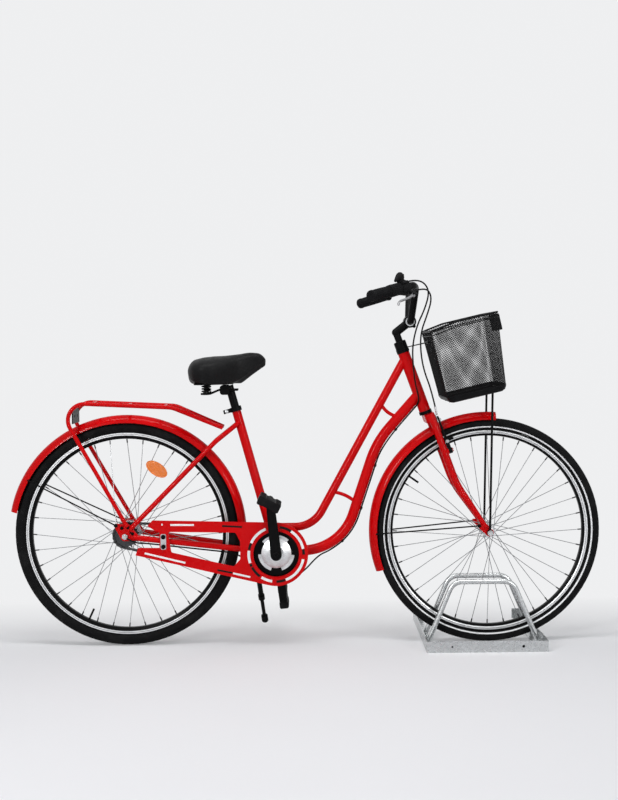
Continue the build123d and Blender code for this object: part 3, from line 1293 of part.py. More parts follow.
# Brake lever: a bracket with two ears and a blade that turns on a pin between them
lever_root = right_end + right_inward * (lever_clamp_start + LEVER_CLAMP_LENGTH / 2)
lever_pivot = lever_root + lever_way * LEVER_PIVOT_REACH
LEVER_AXIS = right_inward.cross(lever_way).normalized()
ear_half = LEVER_WIDTH / 2 + BODY_GAP + 3
ears = rod(lever_pivot - LEVER_AXIS * ear_half, lever_pivot + LEVER_AXIS * ear_half, 8)
neck = rod(lever_root + lever_way * (BAR_RADIUS + 2), lever_pivot, NECK_RADIUS)
lever_pocket = Plane(origin=lever_pivot, x_dir=right_inward, z_dir=LEVER_AXIS) * Box(
    60, 2 * (8 + BODY_GAP), LEVER_WIDTH + 2 * BODY_GAP
)
bracket_body = (lever_clamp + neck + ears) - lever_pocket
bracket_body = bracket_body - rod(
    lever_root - right_inward * 40, lever_root + right_inward * 40, BAR_RADIUS
)
bracket_body += rod(lever_pivot - LEVER_AXIS * ear_half, lever_pivot + LEVER_AXIS * ear_half, PIVOT_RADIUS)
stub_way = LEVER_AXIS * -1
stub_start = shifter_low + stub_way * (SHIFTER_RADIUS - 1)
gear_exit = stub_start + right_inward * SHIFTER_LENGTH
stub = rod(stub_start, gear_exit, CABLE_RADIUS + 2)
stub -= rod(right_end, right_end + right_inward * 170, TWIST_RADIUS)
add("control_clamps", Compound(children=[shifter + stub, bracket_body - shifter]))

lever_tip = lever_pivot - right_inward * LEVER_LENGTH + lever_way * LEVER_SPREAD
blade_half = LEVER_THICKNESS / 2
lever = rod(lever_pivot - LEVER_AXIS * LEVER_WIDTH / 2, lever_pivot + LEVER_AXIS * LEVER_WIDTH / 2, 7)
lever += rod(lever_pivot, lever_tip, blade_half)
lever += Pos(lever_tip) * Sphere(LEVER_TIP_RADIUS)
lever -= rod(lever_pivot - LEVER_AXIS * 20, lever_pivot + LEVER_AXIS * 20, PIVOT_RADIUS + RUNNING)
add("brake_lever", lever)


# Front brake arms with their pads
def brake_arm(side):
    """An arm on its boss, leaning inwards to the cable, with a pad beside the rim."""
    foot = (side * BLADE_OFFSET, BOSS_HEIGHT)
    head = (side * (BLADE_OFFSET - ARM_LEAN), BOSS_HEIGHT + ARM_LENGTH)
    pad_face = side * (RIM_WIDTH / 2 + PAD_GAP)
    pad_back = pad_face + side * PAD_THICKNESS
    pad_z = BOSS_HEIGHT + PAD_RISE
    outline = make_hull(
        (Pos(*foot) * Circle(ARM_WIDTH / 2 + 2)).edges() + (Pos(*head) * Circle(ARM_WIDTH / 2 - 2)).edges()
    )
    plane = Plane(
        origin=steer(ARM_PLANE - ARM_THICKNESS / 2, 0, 0), x_dir=(0, 1, 0), z_dir=STEER.x_dir
    )
    arm = extrude(plane * outline, ARM_THICKNESS)
    arm += rod(steer(ARM_PLANE, pad_back, pad_z), steer(ARM_PLANE, side * (BLADE_OFFSET - 4), pad_z), 4)
    boss_low = steer(ARM_PLANE - ARM_THICKNESS, foot[0], BOSS_HEIGHT)
    boss_high = steer(ARM_PLANE + ARM_THICKNESS, foot[0], BOSS_HEIGHT)
    arm -= rod(boss_low, boss_high, BOSS_RADIUS + RUNNING)
    middle = (pad_face + pad_back) / 2
    pad = STEER * (Pos(ARM_PLANE, middle, pad_z) * Box(PAD_LENGTH, PAD_THICKNESS, PAD_HEIGHT))
    return arm, pad


for side, name in ((1, "left"), (-1, "right")):
    arm, pad = brake_arm(side)
    add(f"{name}_brake_arm", Compound(children=[arm, pad]))

add("front_mudguard", mudguard(FRONT_AXLE, FRONT_MUDGUARD_SPAN))
front_eye = FRONT_HUB_WIDTH / 2 + FORK_END_THICKNESS + STAY_WIRE_RADIUS
front_stay = guard_stay(FRONT_AXLE, FRONT_EYELET, front_eye, FRONT_STAY_ANGLE)
add("front_mudguard_stays", pair(front_stay - fork_end(1)))

# Basket of mesh on a wire rim, carried by a bracket at the headset and two rods to the front axle
basket_tip = math.radians(BASKET_TIP)
BASKET = Plane(
    origin=at(WHEELBASE - BASKET_BOTTOM[0], 0, MUDGUARD_TOP + BASKET_BOTTOM[1]),
    x_dir=(math.cos(basket_tip), 0, math.sin(basket_tip)),
    z_dir=(-math.sin(basket_tip), 0, math.cos(basket_tip)),
)


def basket_solid(inset, floor, top):
    """The basket's tapered form, drawn in on all sides by an inset."""
    lower = RectangleRounded(BASKET_LOWER[0] - 2 * inset, BASKET_LOWER[1] - 2 * inset, BASKET_CORNER - inset)
    upper = RectangleRounded(BASKET_UPPER[0] - 2 * inset, BASKET_UPPER[1] - 2 * inset, BASKET_CORNER - inset)
    return loft([Pos(0, 0, floor) * lower, Pos(BASKET_UPPER_SHIFT, 0, top) * upper])


basket_form = BASKET * basket_solid(0, 0, BASKET_HEIGHT)
basket = basket_solid(0, 0, BASKET_HEIGHT) - basket_solid(BASKET_WALL, BASKET_WALL, BASKET_HEIGHT + 0.01)
dip_angle = math.degrees(math.atan2(BASKET_REAR_DIP, BASKET_UPPER[0] / 2 - 22))
dip = Pos(-22, 0, BASKET_HEIGHT) * Rot(0, -dip_angle, 0) * Box(
    300, 500, 100, align=(Align.MAX, Align.CENTER, Align.MIN)
)


def window_row(length, count):
    """The middles of windows side by side on a wall, and their width."""
    pitch = (length - 2 * BASKET_CORNER + BASKET_RIB) / count
    return [(i - (count - 1) / 2) * pitch for i in range(count)], pitch - BASKET_RIB


side_middles, side_width = window_row(BASKET_LOWER[0], BASKET_WINDOWS[0])
end_middles, end_width = window_row(BASKET_LOWER[1], BASKET_WINDOWS[1])
row_pitch = (BASKET_HEIGHT - BASKET_BAND - BASKET_RIM + BASKET_RIB) / BASKET_WINDOWS[2]
row_height = row_pitch - BASKET_RIB
windows = []
for row in range(BASKET_WINDOWS[2]):
    z = BASKET_BAND + row_height / 2 + row * row_pitch
    windows += [Pos(x, 0, z) * Box(side_width, 2 * BASKET_UPPER[1], row_height) for x in side_middles]
    windows += [Pos(0, y, z) * Box(2 * BASKET_UPPER[0], end_width, row_height) for y in end_middles]
add("basket", BASKET * (basket - dip - windows))

rod_tops = []
for side in (-1, 1):
    rod_y = side * (front_end + BASKET_ROD_RADIUS)
    foot = at(WHEELBASE, rod_y, TYRE_RADIUS)
    top = BASKET.from_local_coords((BASKET_ROD_AHEAD, rod_y, BASKET_ROD_RADIUS))
    strut = prism(foot, top, BASKET_ROD_RADIUS, CORD_SIDES)
    eye = across(
        WHEELBASE, TYRE_RADIUS, *sorted((side * front_end, side * nut_face)), NUT_RADIUS
    )
    strut = strut + eye - across(WHEELBASE, TYRE_RADIUS, -front_axle_end, front_axle_end, AXLE_RADIUS)
    rod_tops.append(strut - basket_form)
add("basket_rods", Compound(children=rod_tops))

bracket_ring = on_steer(HEADSET_CUP_RADIUS, ring_low, locknut_low)
ring_front = steer(HEADSET_CUP_RADIUS - 4, 0, (ring_low + locknut_low) / 2)
basket_back = BASKET.from_local_coords((-BASKET_LOWER[0] / 2 - 8.5, 0, BASKET_HEIGHT - 45))
for side in (-1, 1):
    arm_end = basket_back + Vector(0, side * 30, 0)
    bracket_ring += prism(ring_front, arm_end, BRACKET_RING / 2, CORD_SIDES)
bracket_ring += prism(basket_back - Vector(0, 40, 0), basket_back + Vector(0, 40, 0), 3, CORD_SIDES)
bracket_ring -= on_steer(STEERER_RADIUS, ring_low - 1, locknut_low + 1)
bracket_ring -= on_steer(HEADSET_CUP_RADIUS + 1, ring_low - 20, ring_low)
bracket_ring -= on_steer(LOCKNUT_RADIUS, locknut_low, steerer_top)
add("basket_bracket", bracket_ring - parts["basket"])

front_upper = BASKET_UPPER_SHIFT + BASKET_UPPER[0] / 2
reflector_block = Pos(front_upper - 1.5, 0, BASKET_HEIGHT - REFLECTOR_DROP) * Box(
    *REFLECTOR_SIZE, align=(Align.MIN, Align.CENTER, Align.CENTER)
)
reflector_block = BASKET * reflector_block
add("basket_reflector", reflector_block - basket_form)


# Cables: a route is a list of points, and each corner is rounded as widely as its two runs allow
def widest(points):
    """The widest bend that fits each corner of a route."""
    bends = []
    for before, here, after in zip(points, points[1:], points[2:]):
        arrive, leave = here - before, after - here
        turn = math.radians(arrive.get_angle(leave))
        bends.append(0.45 * min(arrive.length, leave.length) / math.tan(turn / 2))
    return bends


def cable(name, points, first_bends=()):
    """A cable along a route, with its first bends as given and the rest as wide as fits."""
    bends = [*first_bends, *widest(points)[len(first_bends):]]
    print(name, "radii", [round(bend) for bend in bends])
    return bent_cord(points, CABLE_RADIUS, bends)


arm_top = BOSS_HEIGHT + ARM_LENGTH
arm_head = ARM_WIDTH / 2 - 2
arm_y = BLADE_OFFSET - ARM_LEAN
lever_exit = lever_root + right_inward * (NECK_RADIUS + 0.2) + lever_way * 20
brake_route = [
    lever_exit,
    lever_exit + right_inward * 38,
    *(head_at(*place) for place in BRAKE_CABLE_POINTS),
    steer(ARM_PLANE, -arm_y, arm_top + arm_head + CABLE_RADIUS),
]
wire_y = arm_y - arm_head - 0.2
arm_wire = rod(steer(ARM_PLANE, -wire_y, arm_top), steer(ARM_PLANE, wire_y, arm_top), WIRE_RADIUS)
add("brake_cable", Compound(children=[cable("brake cable", brake_route), arm_wire]))

# The gear cable hugs the lower tube's bend from below, then sags behind the chainring to the chainstay
under = LOWER_TUBE_RADIUS + CABLE_RADIUS + 0.3
tube_way = (lower_start - knee).normalized()
fall_way = (lower_corner - knee).normalized()
first_side = Vector(tube_way.Z, 0, -tube_way.X)
second_side = Vector(-fall_way.Z, 0, fall_way.X)
knee_under = knee + (first_side + second_side) * (under / (1 + first_side.dot(second_side)))
knee_bend = LOWER_TUBE_KNEE_BEND - under
knee_reach = knee_bend * math.tan(math.radians(first_side.get_angle(second_side)) / 2)
gear_start = knee_under + tube_way * (knee_reach + GEAR_CABLE_LEAD)
fall_angle = math.degrees(math.atan2(-fall_way.Z, -fall_way.X))
bend_reach = LOWER_TUBE_BEND * math.tan(math.radians(fall_angle) / 2)
bend_centre = lower_corner + Vector(-bend_reach, 0, LOWER_TUBE_BEND)
hug_step = GEAR_CABLE_HUG / GEAR_CABLE_STEPS
hug_reach = (LOWER_TUBE_BEND + under) / math.cos(math.radians(hug_step / 2))
hug = []
for i in range(GEAR_CABLE_STEPS):
    x, z = polar(bend_centre.X, bend_centre.Z, hug_reach, fall_angle - 90 - (i + 0.5) * hug_step)
    hug.append(Vector(x, 0, z))
gear_route = [
    gear_start,
    knee_under,
    *hug,
    *(bb_at(*place) for place in GEAR_CABLE_SAG),
    *(at(x, y, TYRE_RADIUS + z) for x, y, z in GEAR_CABLE_END),
]
add("gear_cable", cable("gear cable", gear_route, [knee_bend]))

gear_loop = [
    gear_exit,
    gear_exit + right_inward * 36,
    *(head_at(*place) for place in GEAR_LOOP_POINTS),
    gear_start + tube_way * GEAR_LOOP_LEAD,
    gear_start + tube_way * BODY_GAP,
]
add("gear_cable_loop", cable("gear cable loop", gear_loop))


# Floor stand: three bars of angle with short returns, and two hoops that stand beside the tyre
def angle_bar(length):
    """A length of angle with its upright on the Y axis and its foot towards +Y."""
    upright = Box(length, STAND_SHEET, STAND_FLANGE, align=(Align.CENTER, Align.MIN, Align.MIN))
    return upright + Box(length, STAND_FOOT, STAND_SHEET, align=(Align.CENTER, Align.MIN, Align.MIN))


half_stand = STAND_LENGTH / 2
stand_depth = STAND_FAR - STAND_NEAR
stand_base = Pos(0, STAND_NEAR) * angle_bar(STAND_LENGTH)
for side in (-1, 1):
    side_bar = Rot(0, 0, side * 90) * angle_bar(stand_depth)
    stand_base += Pos(side * half_stand, (STAND_NEAR + STAND_FAR) / 2) * side_bar
    stand_base += Pos(side * (half_stand - STAND_RETURN / 2), STAND_FAR - STAND_SHEET) * Box(
        STAND_RETURN, STAND_SHEET, STAND_FLANGE, align=(Align.CENTER, Align.MIN, Align.MIN)
    )
for x, radius in STAND_HOLES:
    stand_base -= Pos(x, STAND_NEAR, STAND_FLANGE / 2) * Rot(90, 0, 0) * Cylinder(radius, 3 * STAND_SHEET)
stand_base = Pos(at(STAND_CENTRE, 0, 0)) * stand_base
add("stand_base", stand_base)

hoop_foot = half_stand - STAND_SHEET - HOOP_TUBE_RADIUS + 1
hoop_top = HOOP_HEIGHT - HOOP_TUBE_RADIUS
hoops = []
for side in (-1, 1):
    hoop_y = side * HOOP_OFFSET
    hoop = bent_tube(
        [
            at(STAND_CENTRE - hoop_foot, hoop_y, 0),
            at(STAND_CENTRE - HOOP_TOP_LENGTH / 2, hoop_y, hoop_top),
            at(STAND_CENTRE + HOOP_TOP_LENGTH / 2, hoop_y, hoop_top),
            at(STAND_CENTRE + hoop_foot, hoop_y, 0),
        ],
        HOOP_TUBE_RADIUS,
        HOOP_BEND,
    )
    below_foot = Pos(at(STAND_CENTRE, hoop_y, STAND_SHEET)) * Box(
        2 * STAND_LENGTH, 60, 60, align=(Align.CENTER, Align.CENTER, Align.MAX)
    )
    hoops.append(hoop - below_foot - stand_base)
add("stand_hoops", Compound(children=hoops))

for node, shape in parts.items():
    export_step(shape, f"parts/{node}.step")
print("nodes", len(parts))
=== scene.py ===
"""Looks of a city bicycle held by its front wheel in a floor stand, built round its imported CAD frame.

Metres, in the frame of the CAD: +X is the way the bicycle faces, +Y the rider's left, +Z up.
"""

import json
from math import copysign, cos, hypot, pi, radians, sin, sqrt, tau

import bpy
import numpy as np
from mathutils import Matrix, Vector


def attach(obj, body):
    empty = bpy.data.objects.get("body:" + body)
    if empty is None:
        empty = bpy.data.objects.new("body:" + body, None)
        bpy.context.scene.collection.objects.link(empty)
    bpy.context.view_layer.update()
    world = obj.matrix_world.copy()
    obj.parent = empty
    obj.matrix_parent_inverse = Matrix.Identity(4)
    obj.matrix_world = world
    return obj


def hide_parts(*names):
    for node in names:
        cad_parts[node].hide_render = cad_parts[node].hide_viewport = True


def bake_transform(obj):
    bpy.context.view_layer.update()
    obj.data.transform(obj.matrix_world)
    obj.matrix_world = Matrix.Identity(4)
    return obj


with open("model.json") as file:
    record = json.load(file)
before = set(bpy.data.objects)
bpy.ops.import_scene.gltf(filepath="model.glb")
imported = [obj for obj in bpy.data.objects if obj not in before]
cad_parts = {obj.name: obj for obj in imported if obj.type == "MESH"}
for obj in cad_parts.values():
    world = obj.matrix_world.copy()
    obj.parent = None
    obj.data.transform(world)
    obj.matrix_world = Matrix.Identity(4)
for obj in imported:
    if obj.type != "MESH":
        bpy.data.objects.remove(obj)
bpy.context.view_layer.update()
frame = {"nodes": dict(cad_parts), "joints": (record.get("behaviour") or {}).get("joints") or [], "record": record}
nodes = frame["nodes"]
joints = {joint["name"]: joint for joint in frame["joints"]}


def mm(x, y, z):
    """A point of the row frame given in millimetres."""
    return Vector((x, y, z)) / 1000


# Places that several pieces share
REAR_AXLE = Vector(joints["rear_wheel_spin"]["pos_m"])
FRONT_AXLE = Vector(joints["front_wheel_spin"]["pos_m"])
BOTTOM_BRACKET = Vector(joints["crank_spin"]["pos_m"])
HEAD_TILT = radians(20)
STEER_AHEAD = Vector((cos(HEAD_TILT), 0, sin(HEAD_TILT)))
STEER_UP = Vector((-sin(HEAD_TILT), 0, cos(HEAD_TILT)))
FORK_OFFSET = 0.053
STEER_ORIGIN = FRONT_AXLE - Vector((FORK_OFFSET / cos(HEAD_TILT), 0, 0))
SEAT_TILT = radians(15.4)
SEAT_UP = Vector((-sin(SEAT_TILT), 0, cos(SEAT_TILT)))
SIDE = Vector((0, 1, 0))

# Ends of the handlebar, the way in along each grip, and the way up that is square to the right grip
RIGHT_END = mm(191.5, -300, 1066.4)
RIGHT_INWARD = Vector((0.672, 0.718, 0.185)).normalized()
RIGHT_UP = Vector((-0.126, -0.135, 0.983)).normalized()
LEFT_END = mm(191.5, 300, 1066.4)
LEFT_INWARD = Vector((0.672, -0.718, 0.185)).normalized()


def steer(ahead, y, along):
    """A point in millimetres measured from the steering axis."""
    return STEER_ORIGIN + (STEER_AHEAD * ahead + SIDE * y + STEER_UP * along) / 1000


# The range that most of a noise's values lie in
NOISE_SPREAD = (0.3, 0.7)


class Nodes:
    """A node tree, with short ways to add to it."""

    def __init__(self, tree):
        self.tree = tree

    def add(self, kind, inputs, **attributes):
        node = self.tree.nodes.new(kind)
        for key, value in attributes.items():
            setattr(node, key, value)
        for socket, value in inputs.items():
            if isinstance(value, bpy.types.NodeSocket):
                self.tree.links.new(value, node.inputs[socket])
            else:
                node.inputs[socket].default_value = value
        return node

    def math(self, operation, a, b=0.0):
        return self.add("ShaderNodeMath", {0: a, 1: b}, operation=operation).outputs["Value"]

    def vector(self, operation, a, b=(0, 0, 0)):
        return self.add("ShaderNodeVectorMath", {0: a, 1: b}, operation=operation).outputs

    def mix(self, factor, a, b):
        return self.add("ShaderNodeMix", {0: factor, 6: a, 7: b}, data_type="RGBA").outputs[2]

    def shown_rays(self):
        """One for rays that show a surface, mirrored or through glass too, and nothing for the rest."""
        rays = self.add("ShaderNodeLightPath", {}).outputs
        seen = self.math("MAXIMUM", rays["Is Camera Ray"], rays["Is Glossy Ray"])
        return self.math("MAXIMUM", seen, rays["Is Transmission Ray"])


class Finish(Nodes):
    """One material, with short ways to shape its surface."""

    def __init__(self, name, settings):
        self.material = bpy.data.materials.new(name)
        self.material.use_nodes = True
        super().__init__(self.material.node_tree)
        self.shader = self.tree.nodes["Principled BSDF"]
        for socket, value in settings.items():
            self.shader.inputs[socket].default_value = value
        self.place = self.add("ShaderNodeTexCoord", {}).outputs["Object"]

    def noise(self, scale, detail, place=None):
        inputs = {"Vector": place or self.place, "Scale": scale, "Detail": detail}
        return self.add("ShaderNodeTexNoise", inputs).outputs["Fac"]

    def cells(self, scale, output="Distance"):
        inputs = {"Vector": self.place, "Scale": scale}
        return self.add("ShaderNodeTexVoronoi", inputs).outputs[output]

    def span(self, value, low, high, start=0.0, end=1.0):
        """A value in a range, carried over to another range."""
        inputs = {"Value": value, "From Min": low, "From Max": high, "To Min": start, "To Max": end}
        return self.add("ShaderNodeMapRange", inputs).outputs["Result"]

    def cloud(self, scale, detail, low, high, start=0.0, end=1.0):
        """Noise, carried over from one range to another."""
        return self.span(self.noise(scale, detail), low, high, start, end)

    def uneven(self, scale, detail, least, most):
        """Roughness that wanders between two values."""
        self.set("Roughness", self.cloud(scale, detail, *NOISE_SPREAD, least, most))

    def radius(self, axle):
        """The distance from an axle that runs across the bicycle."""
        centred = self.vector("SUBTRACT", self.place, axle)["Vector"]
        flat = self.vector("MULTIPLY", centred, (1, 0, 1))["Vector"]
        return self.vector("LENGTH", flat)["Value"]

    def band(self, value, low, high, edge=0.0004):
        """One between two values and nothing outside them, with soft edges."""
        rise = self.span(value, low - edge, low + edge)
        fall = self.span(value, high - edge, high + edge, 1.0, 0.0)
        return self.math("MULTIPLY", rise, fall)

    def bump(self, height, strength, distance):
        inputs = {"Height": height, "Strength": strength, "Distance": distance}
        if self.shader.inputs["Normal"].is_linked:
            inputs["Normal"] = self.shader.inputs["Normal"].links[0].from_socket
        self.set("Normal", self.add("ShaderNodeBump", inputs).outputs["Normal"])

    def set(self, socket, value):
        self.tree.links.new(value, self.shader.inputs[socket])

    def base(self, factor, a, b):
        self.set("Base Color", self.mix(factor, a, b))


def colour(r, g, b):
    return (r, g, b, 1.0)


def shaded(tone, factor):
    return colour(*(min(1.0, channel * factor) for channel in tone[:3]))


def paint(name, tone, rough):
    """Gloss paint under a clear coat, with a faint orange peel and a little dust in it."""
    settings = {"Specular IOR Level": 0.03, "Coat Weight": 0.14, "Coat Roughness": 0.06, "Coat IOR": 1.5}
    made = Finish(name, settings)
    tint = made.cloud(7, 4, 0.35, 0.65)
    base = made.mix(tint, shaded(tone, 0.96), shaded(tone, 1.04))
    specks = made.cloud(900, 1, 0.7, 0.8, 0.0, 0.12)
    made.base(specks, base, shaded(tone, 1.4))
    made.uneven(40, 5, rough - 0.05, rough + 0.09)
    made.bump(made.noise(380, 1), 0.08, 0.0003)
    return made.material


def satin(name, tone, rough, grain):
    """Powder coat or moulded plastic with a fine grain."""
    made = Finish(name, {"Specular IOR Level": 0.06})
    wear = made.cloud(60, 6, 0.5, 0.75)
    made.base(wear, tone, shaded(tone, 1.5))
    made.uneven(90, 4, rough - 0.07, rough + 0.1)
    made.bump(made.noise(grain, 2), 0.14, 0.0003)
    made.bump(made.noise(25, 2), 0.04, 0.002)
    return made.material


def metal(name, tone, rough, stretch):
    """Bare metal with fine lines drawn along it and faint stains."""
    made = Finish(name, {"Metallic": 1.0})
    lines = made.noise(1.0, 3, made.vector("MULTIPLY", made.place, stretch)["Vector"])
    stain = made.cloud(45, 5, 0.45, 0.7)
    made.base(stain, tone, shaded(tone, 0.8))
    made.set("Roughness", made.span(lines, *NOISE_SPREAD, rough - 0.06, rough + 0.12))
    made.bump(lines, 0.06, 0.0002)
    return made.material


def galvanised(name):
    """Hot-dipped steel with a fine spangle and dull patches."""
    made = Finish(name, {"Metallic": 1.0})
    spangle = made.cells(170, "Color")
    grey = made.add("ShaderNodeSeparateColor", {"Color": spangle}).outputs["Red"]
    base = made.mix(grey, colour(0.53, 0.545, 0.55), colour(0.6, 0.615, 0.62))
    dull = made.cloud(18, 4, 0.45, 0.7, 0.0, 0.4)
    made.base(dull, base, colour(0.46, 0.47, 0.47))
    made.set("Roughness", made.span(grey, 0.0, 1.0, 0.25, 0.31))
    made.bump(made.noise(120, 4), 0.012, 0.0004)
    return made.material


def rubber(name, axle, stripe):
    """Tyre rubber: a matt tread, a smoother wall with fine ribs, and a pale band where there is one."""
    made = Finish(name, {"Specular IOR Level": 0.06})
    radius = made.radius(axle)
    dust = made.cloud(30, 6, 0.45, 0.75)
    base = made.mix(dust, colour(0.005, 0.005, 0.0054), colour(0.012, 0.012, 0.0122))
    if stripe:
        base = made.mix(made.band(radius, *stripe), base, colour(0.86, 0.87, 0.88))
    made.set("Base Color", base)
    made.uneven(140, 4, 0.55, 0.75)
    ribs = made.math("SINE", made.math("MULTIPLY", radius, 5200.0))
    wall = made.math("MULTIPLY", ribs, made.band(radius, 0.319, 0.324))
    made.bump(wall, 0.25, 0.0003)
    made.bump(made.noise(700, 2), 0.2, 0.0003)
    return made.material


# A wear groove in a rim's braking track, in metres from the track's inner edge
WEAR_GROOVE = (0.0034, 0.0048)


def rim_metal(name, axle, track):
    """A black rim whose braking track is turned bright, with a dark wear groove in it."""
    made = Finish(name, {"Specular IOR Level": 0.05})
    radius = made.radius(axle)
    turned = made.band(radius, *track)
    groove = made.band(radius, track[0] + WEAR_GROOVE[0], track[0] + WEAR_GROOVE[1])
    bright = made.math("MULTIPLY", turned, made.span(groove, 0.0, 1.0, 1.0, 0.15))
    lines = made.math("SINE", made.math("MULTIPLY", radius, 9000.0))
    smear = made.cloud(25, 5, *NOISE_SPREAD)
    silver = made.mix(smear, colour(0.66, 0.67, 0.68), colour(0.78, 0.79, 0.8))
    made.base(bright, colour(0.004, 0.004, 0.0042), silver)
    made.set("Metallic", made.math("MULTIPLY", bright, 0.85))
    made.uneven(70, 4, 0.28, 0.42)
    made.bump(made.math("MULTIPLY", lines, bright), 0.12, 0.0002)
    return made.material


def spoke_steel(name, axle):
    """Stainless spokes with darker nipples at the rim."""
    made = Finish(name, {"Metallic": 1.0})
    nipple = made.span(made.radius(axle), 0.281, 0.283)
    stain = made.cloud(150, 4, 0.4, 0.7)
    steel = made.mix(stain, colour(0.33, 0.335, 0.345), colour(0.23, 0.235, 0.24))
    made.base(nipple, steel, colour(0.06, 0.06, 0.062))
    made.uneven(400, 2, 0.2, 0.36)
    return made.material


def leather(name):
    """Black grained vinyl: small pebbles between fine creases, with painted shade darkening the creases."""
    made = Finish(name, {"Specular IOR Level": 0.11})
    pebbles = made.cells(420)
    worn = made.cloud(14, 4, 0.4, 0.7)
    base = made.mix(worn, colour(0.006, 0.006, 0.0065), colour(0.011, 0.011, 0.0115))
    # Painted shade: the creases between the pebbles are darkened.
    crease = made.span(pebbles, 0.35, 0.6, 0.0, 0.5)
    made.base(crease, base, colour(0.003, 0.003, 0.003))
    made.uneven(60, 3, 0.42, 0.56)
    made.bump(pebbles, 0.25, 0.0005)
    made.bump(made.noise(30, 3), 0.06, 0.002)
    return made.material


def prism_lens(name, tone, painted_glow):
    """A reflector's lens: rows of small pyramids under a smooth face. Its facets are painted lighter at their
    peaks and darker between them, as painted light and shade, and it can be given a faint painted glow.
    """
    settings = {"Roughness": 0.16, "Coat Weight": 0.35, "Coat Roughness": 0.05}
    # The emission is a painted glow: the lens is no lamp.
    made = Finish(name, settings | {"Emission Color": tone, "Emission Strength": painted_glow})
    across, deep = 1700, 900.0
    waves = []
    for turn in (0, 60, 120):
        angle = radians(turn)
        way = (cos(angle) * across, deep, sin(angle) * across)
        waves.append(made.math("SINE", made.vector("DOT_PRODUCT", made.place, way)["Value"]))
    peaks = made.math("ADD", made.math("ADD", waves[0], waves[1]), waves[2])
    # Painted light and shade: each facet is lighter at its peak and darker between the peaks.
    painted_facet_shade = made.span(peaks, -1.5, 2.0)
    made.base(painted_facet_shade, shaded(tone, 0.6), shaded(tone, 1.1))
    made.bump(peaks, 0.5, 0.0005)
    return made.material


def chain_steel(name):
    """Oiled, blackened steel: dark plates, darker still where the oil has caught dust."""
    made = Finish(name, {"Metallic": 0.9})
    oil = made.cloud(120, 4, 0.4, 0.65)
    made.base(oil, colour(0.085, 0.085, 0.088), colour(0.02, 0.019, 0.018))
    made.uneven(200, 3, 0.26, 0.46)
    made.bump(made.noise(300, 3), 0.1, 0.0003)
    return made.material


BACKDROP = colour(0.86, 0.865, 0.875)


def studio_floor(name):
    """Pale paper. Behind the bicycle and far from it, it shows as an even backdrop that lights nothing."""
    made = Finish(name, {"Specular IOR Level": 0.2})
    tint = made.cloud(0.8, 3, *NOISE_SPREAD)
    made.base(tint, colour(0.83, 0.83, 0.845), colour(0.85, 0.85, 0.865))
    made.uneven(30, 3, 0.75, 0.9)
    made.bump(made.noise(250, 3), 0.05, 0.0005)
    back = made.add("ShaderNodeSeparateXYZ", {"Vector": made.place}).outputs["Y"]
    away = made.vector("LENGTH", made.place)["Value"]
    even = made.math("MAXIMUM", made.span(back, -0.12, 0.62), made.span(away, 2.2, 3.6))
    share = made.math("MULTIPLY", made.shown_rays(), even)
    lit = made.add("ShaderNodeEmission", {"Color": BACKDROP, "Strength": 1.0})
    both = made.add("ShaderNodeMixShader", {0: share, 1: made.shader.outputs[0], 2: lit.outputs[0]})
    made.tree.links.new(both.outputs[0], made.tree.nodes["Material Output"].inputs["Surface"])
    return made.material


RED = colour(0.54, 0.001, 0.0022)
BLACK = colour(0.0032, 0.0032, 0.0034)
finishes = {
    "frame_paint": paint("frame red", RED, 0.22),
    "mudguard_paint": paint("mudguard red", RED, 0.24),
    "guard_paint": paint("guard red", RED, 0.3),
    "black_metal": satin("black coat", BLACK, 0.36, 900),
    "steel": metal("zinc steel", colour(0.56, 0.57, 0.58), 0.32, (300, 300, 300)),
    "tyre": rubber("rear tyre rubber", REAR_AXLE, None),
    "alloy": metal("brushed alloy", colour(0.7, 0.71, 0.72), 0.28, (60, 900, 900)),
    "bright_steel": metal("bright steel", colour(0.6, 0.61, 0.62), 0.26, (200, 200, 200)),
    "black_plastic": satin("moulded plastic", colour(0.008, 0.008, 0.0084), 0.5, 1500),
    "cable": satin("cable cover", colour(0.006, 0.006, 0.0064), 0.42, 600),
    "saddle_skin": leather("saddle vinyl"),
    "basket_mesh": satin("basket coat", colour(0.006, 0.006, 0.0064), 0.45, 800),
    # The amber lens is given a faint painted glow.
    "amber": prism_lens("amber lens", colour(0.9, 0.2, 0.004), 0.05),
    "lamp": prism_lens("clear lens", colour(0.72, 0.74, 0.76), 0.0),
    "galvanised": galvanised("galvanised steel"),
}
front_rubber = rubber("front tyre rubber", FRONT_AXLE, (0.3208, 0.3248))
grip_rubber = satin("grip rubber", colour(0.0075, 0.0075, 0.008), 0.66, 700)
pale_film = satin("pale film", colour(0.8, 0.81, 0.82), 0.35, 500)
dark_film = satin("dark film", colour(0.01, 0.01, 0.01), 0.35, 500)
lever_alloy = metal("lever alloy", colour(0.4, 0.4, 0.41), 0.4, (120, 120, 120))
own_finish = {
    "rear_rim": rim_metal("rear rim", REAR_AXLE, (0.3055, 0.3138)),
    "front_rim": rim_metal("front rim", FRONT_AXLE, (0.3025, 0.3115)),
    "rear_spokes": spoke_steel("rear spokes", REAR_AXLE),
    "front_spokes": spoke_steel("front spokes", FRONT_AXLE),
    "chain": chain_steel("chain steel"),
    "rear_sprocket": metal("blackened steel", colour(0.06, 0.06, 0.063), 0.36, (300, 300, 300)),
    "basket_reflector": finishes["black_plastic"],
    "rack_plate": finishes["black_metal"],
}
slot_of = {part["node"]: part["material_slot"] for part in frame["record"]["subparts"]}
for name, node in nodes.items():
    node.data.materials.clear()
    node.data.materials.append(own_finish.get(name) or finishes[slot_of[name]])


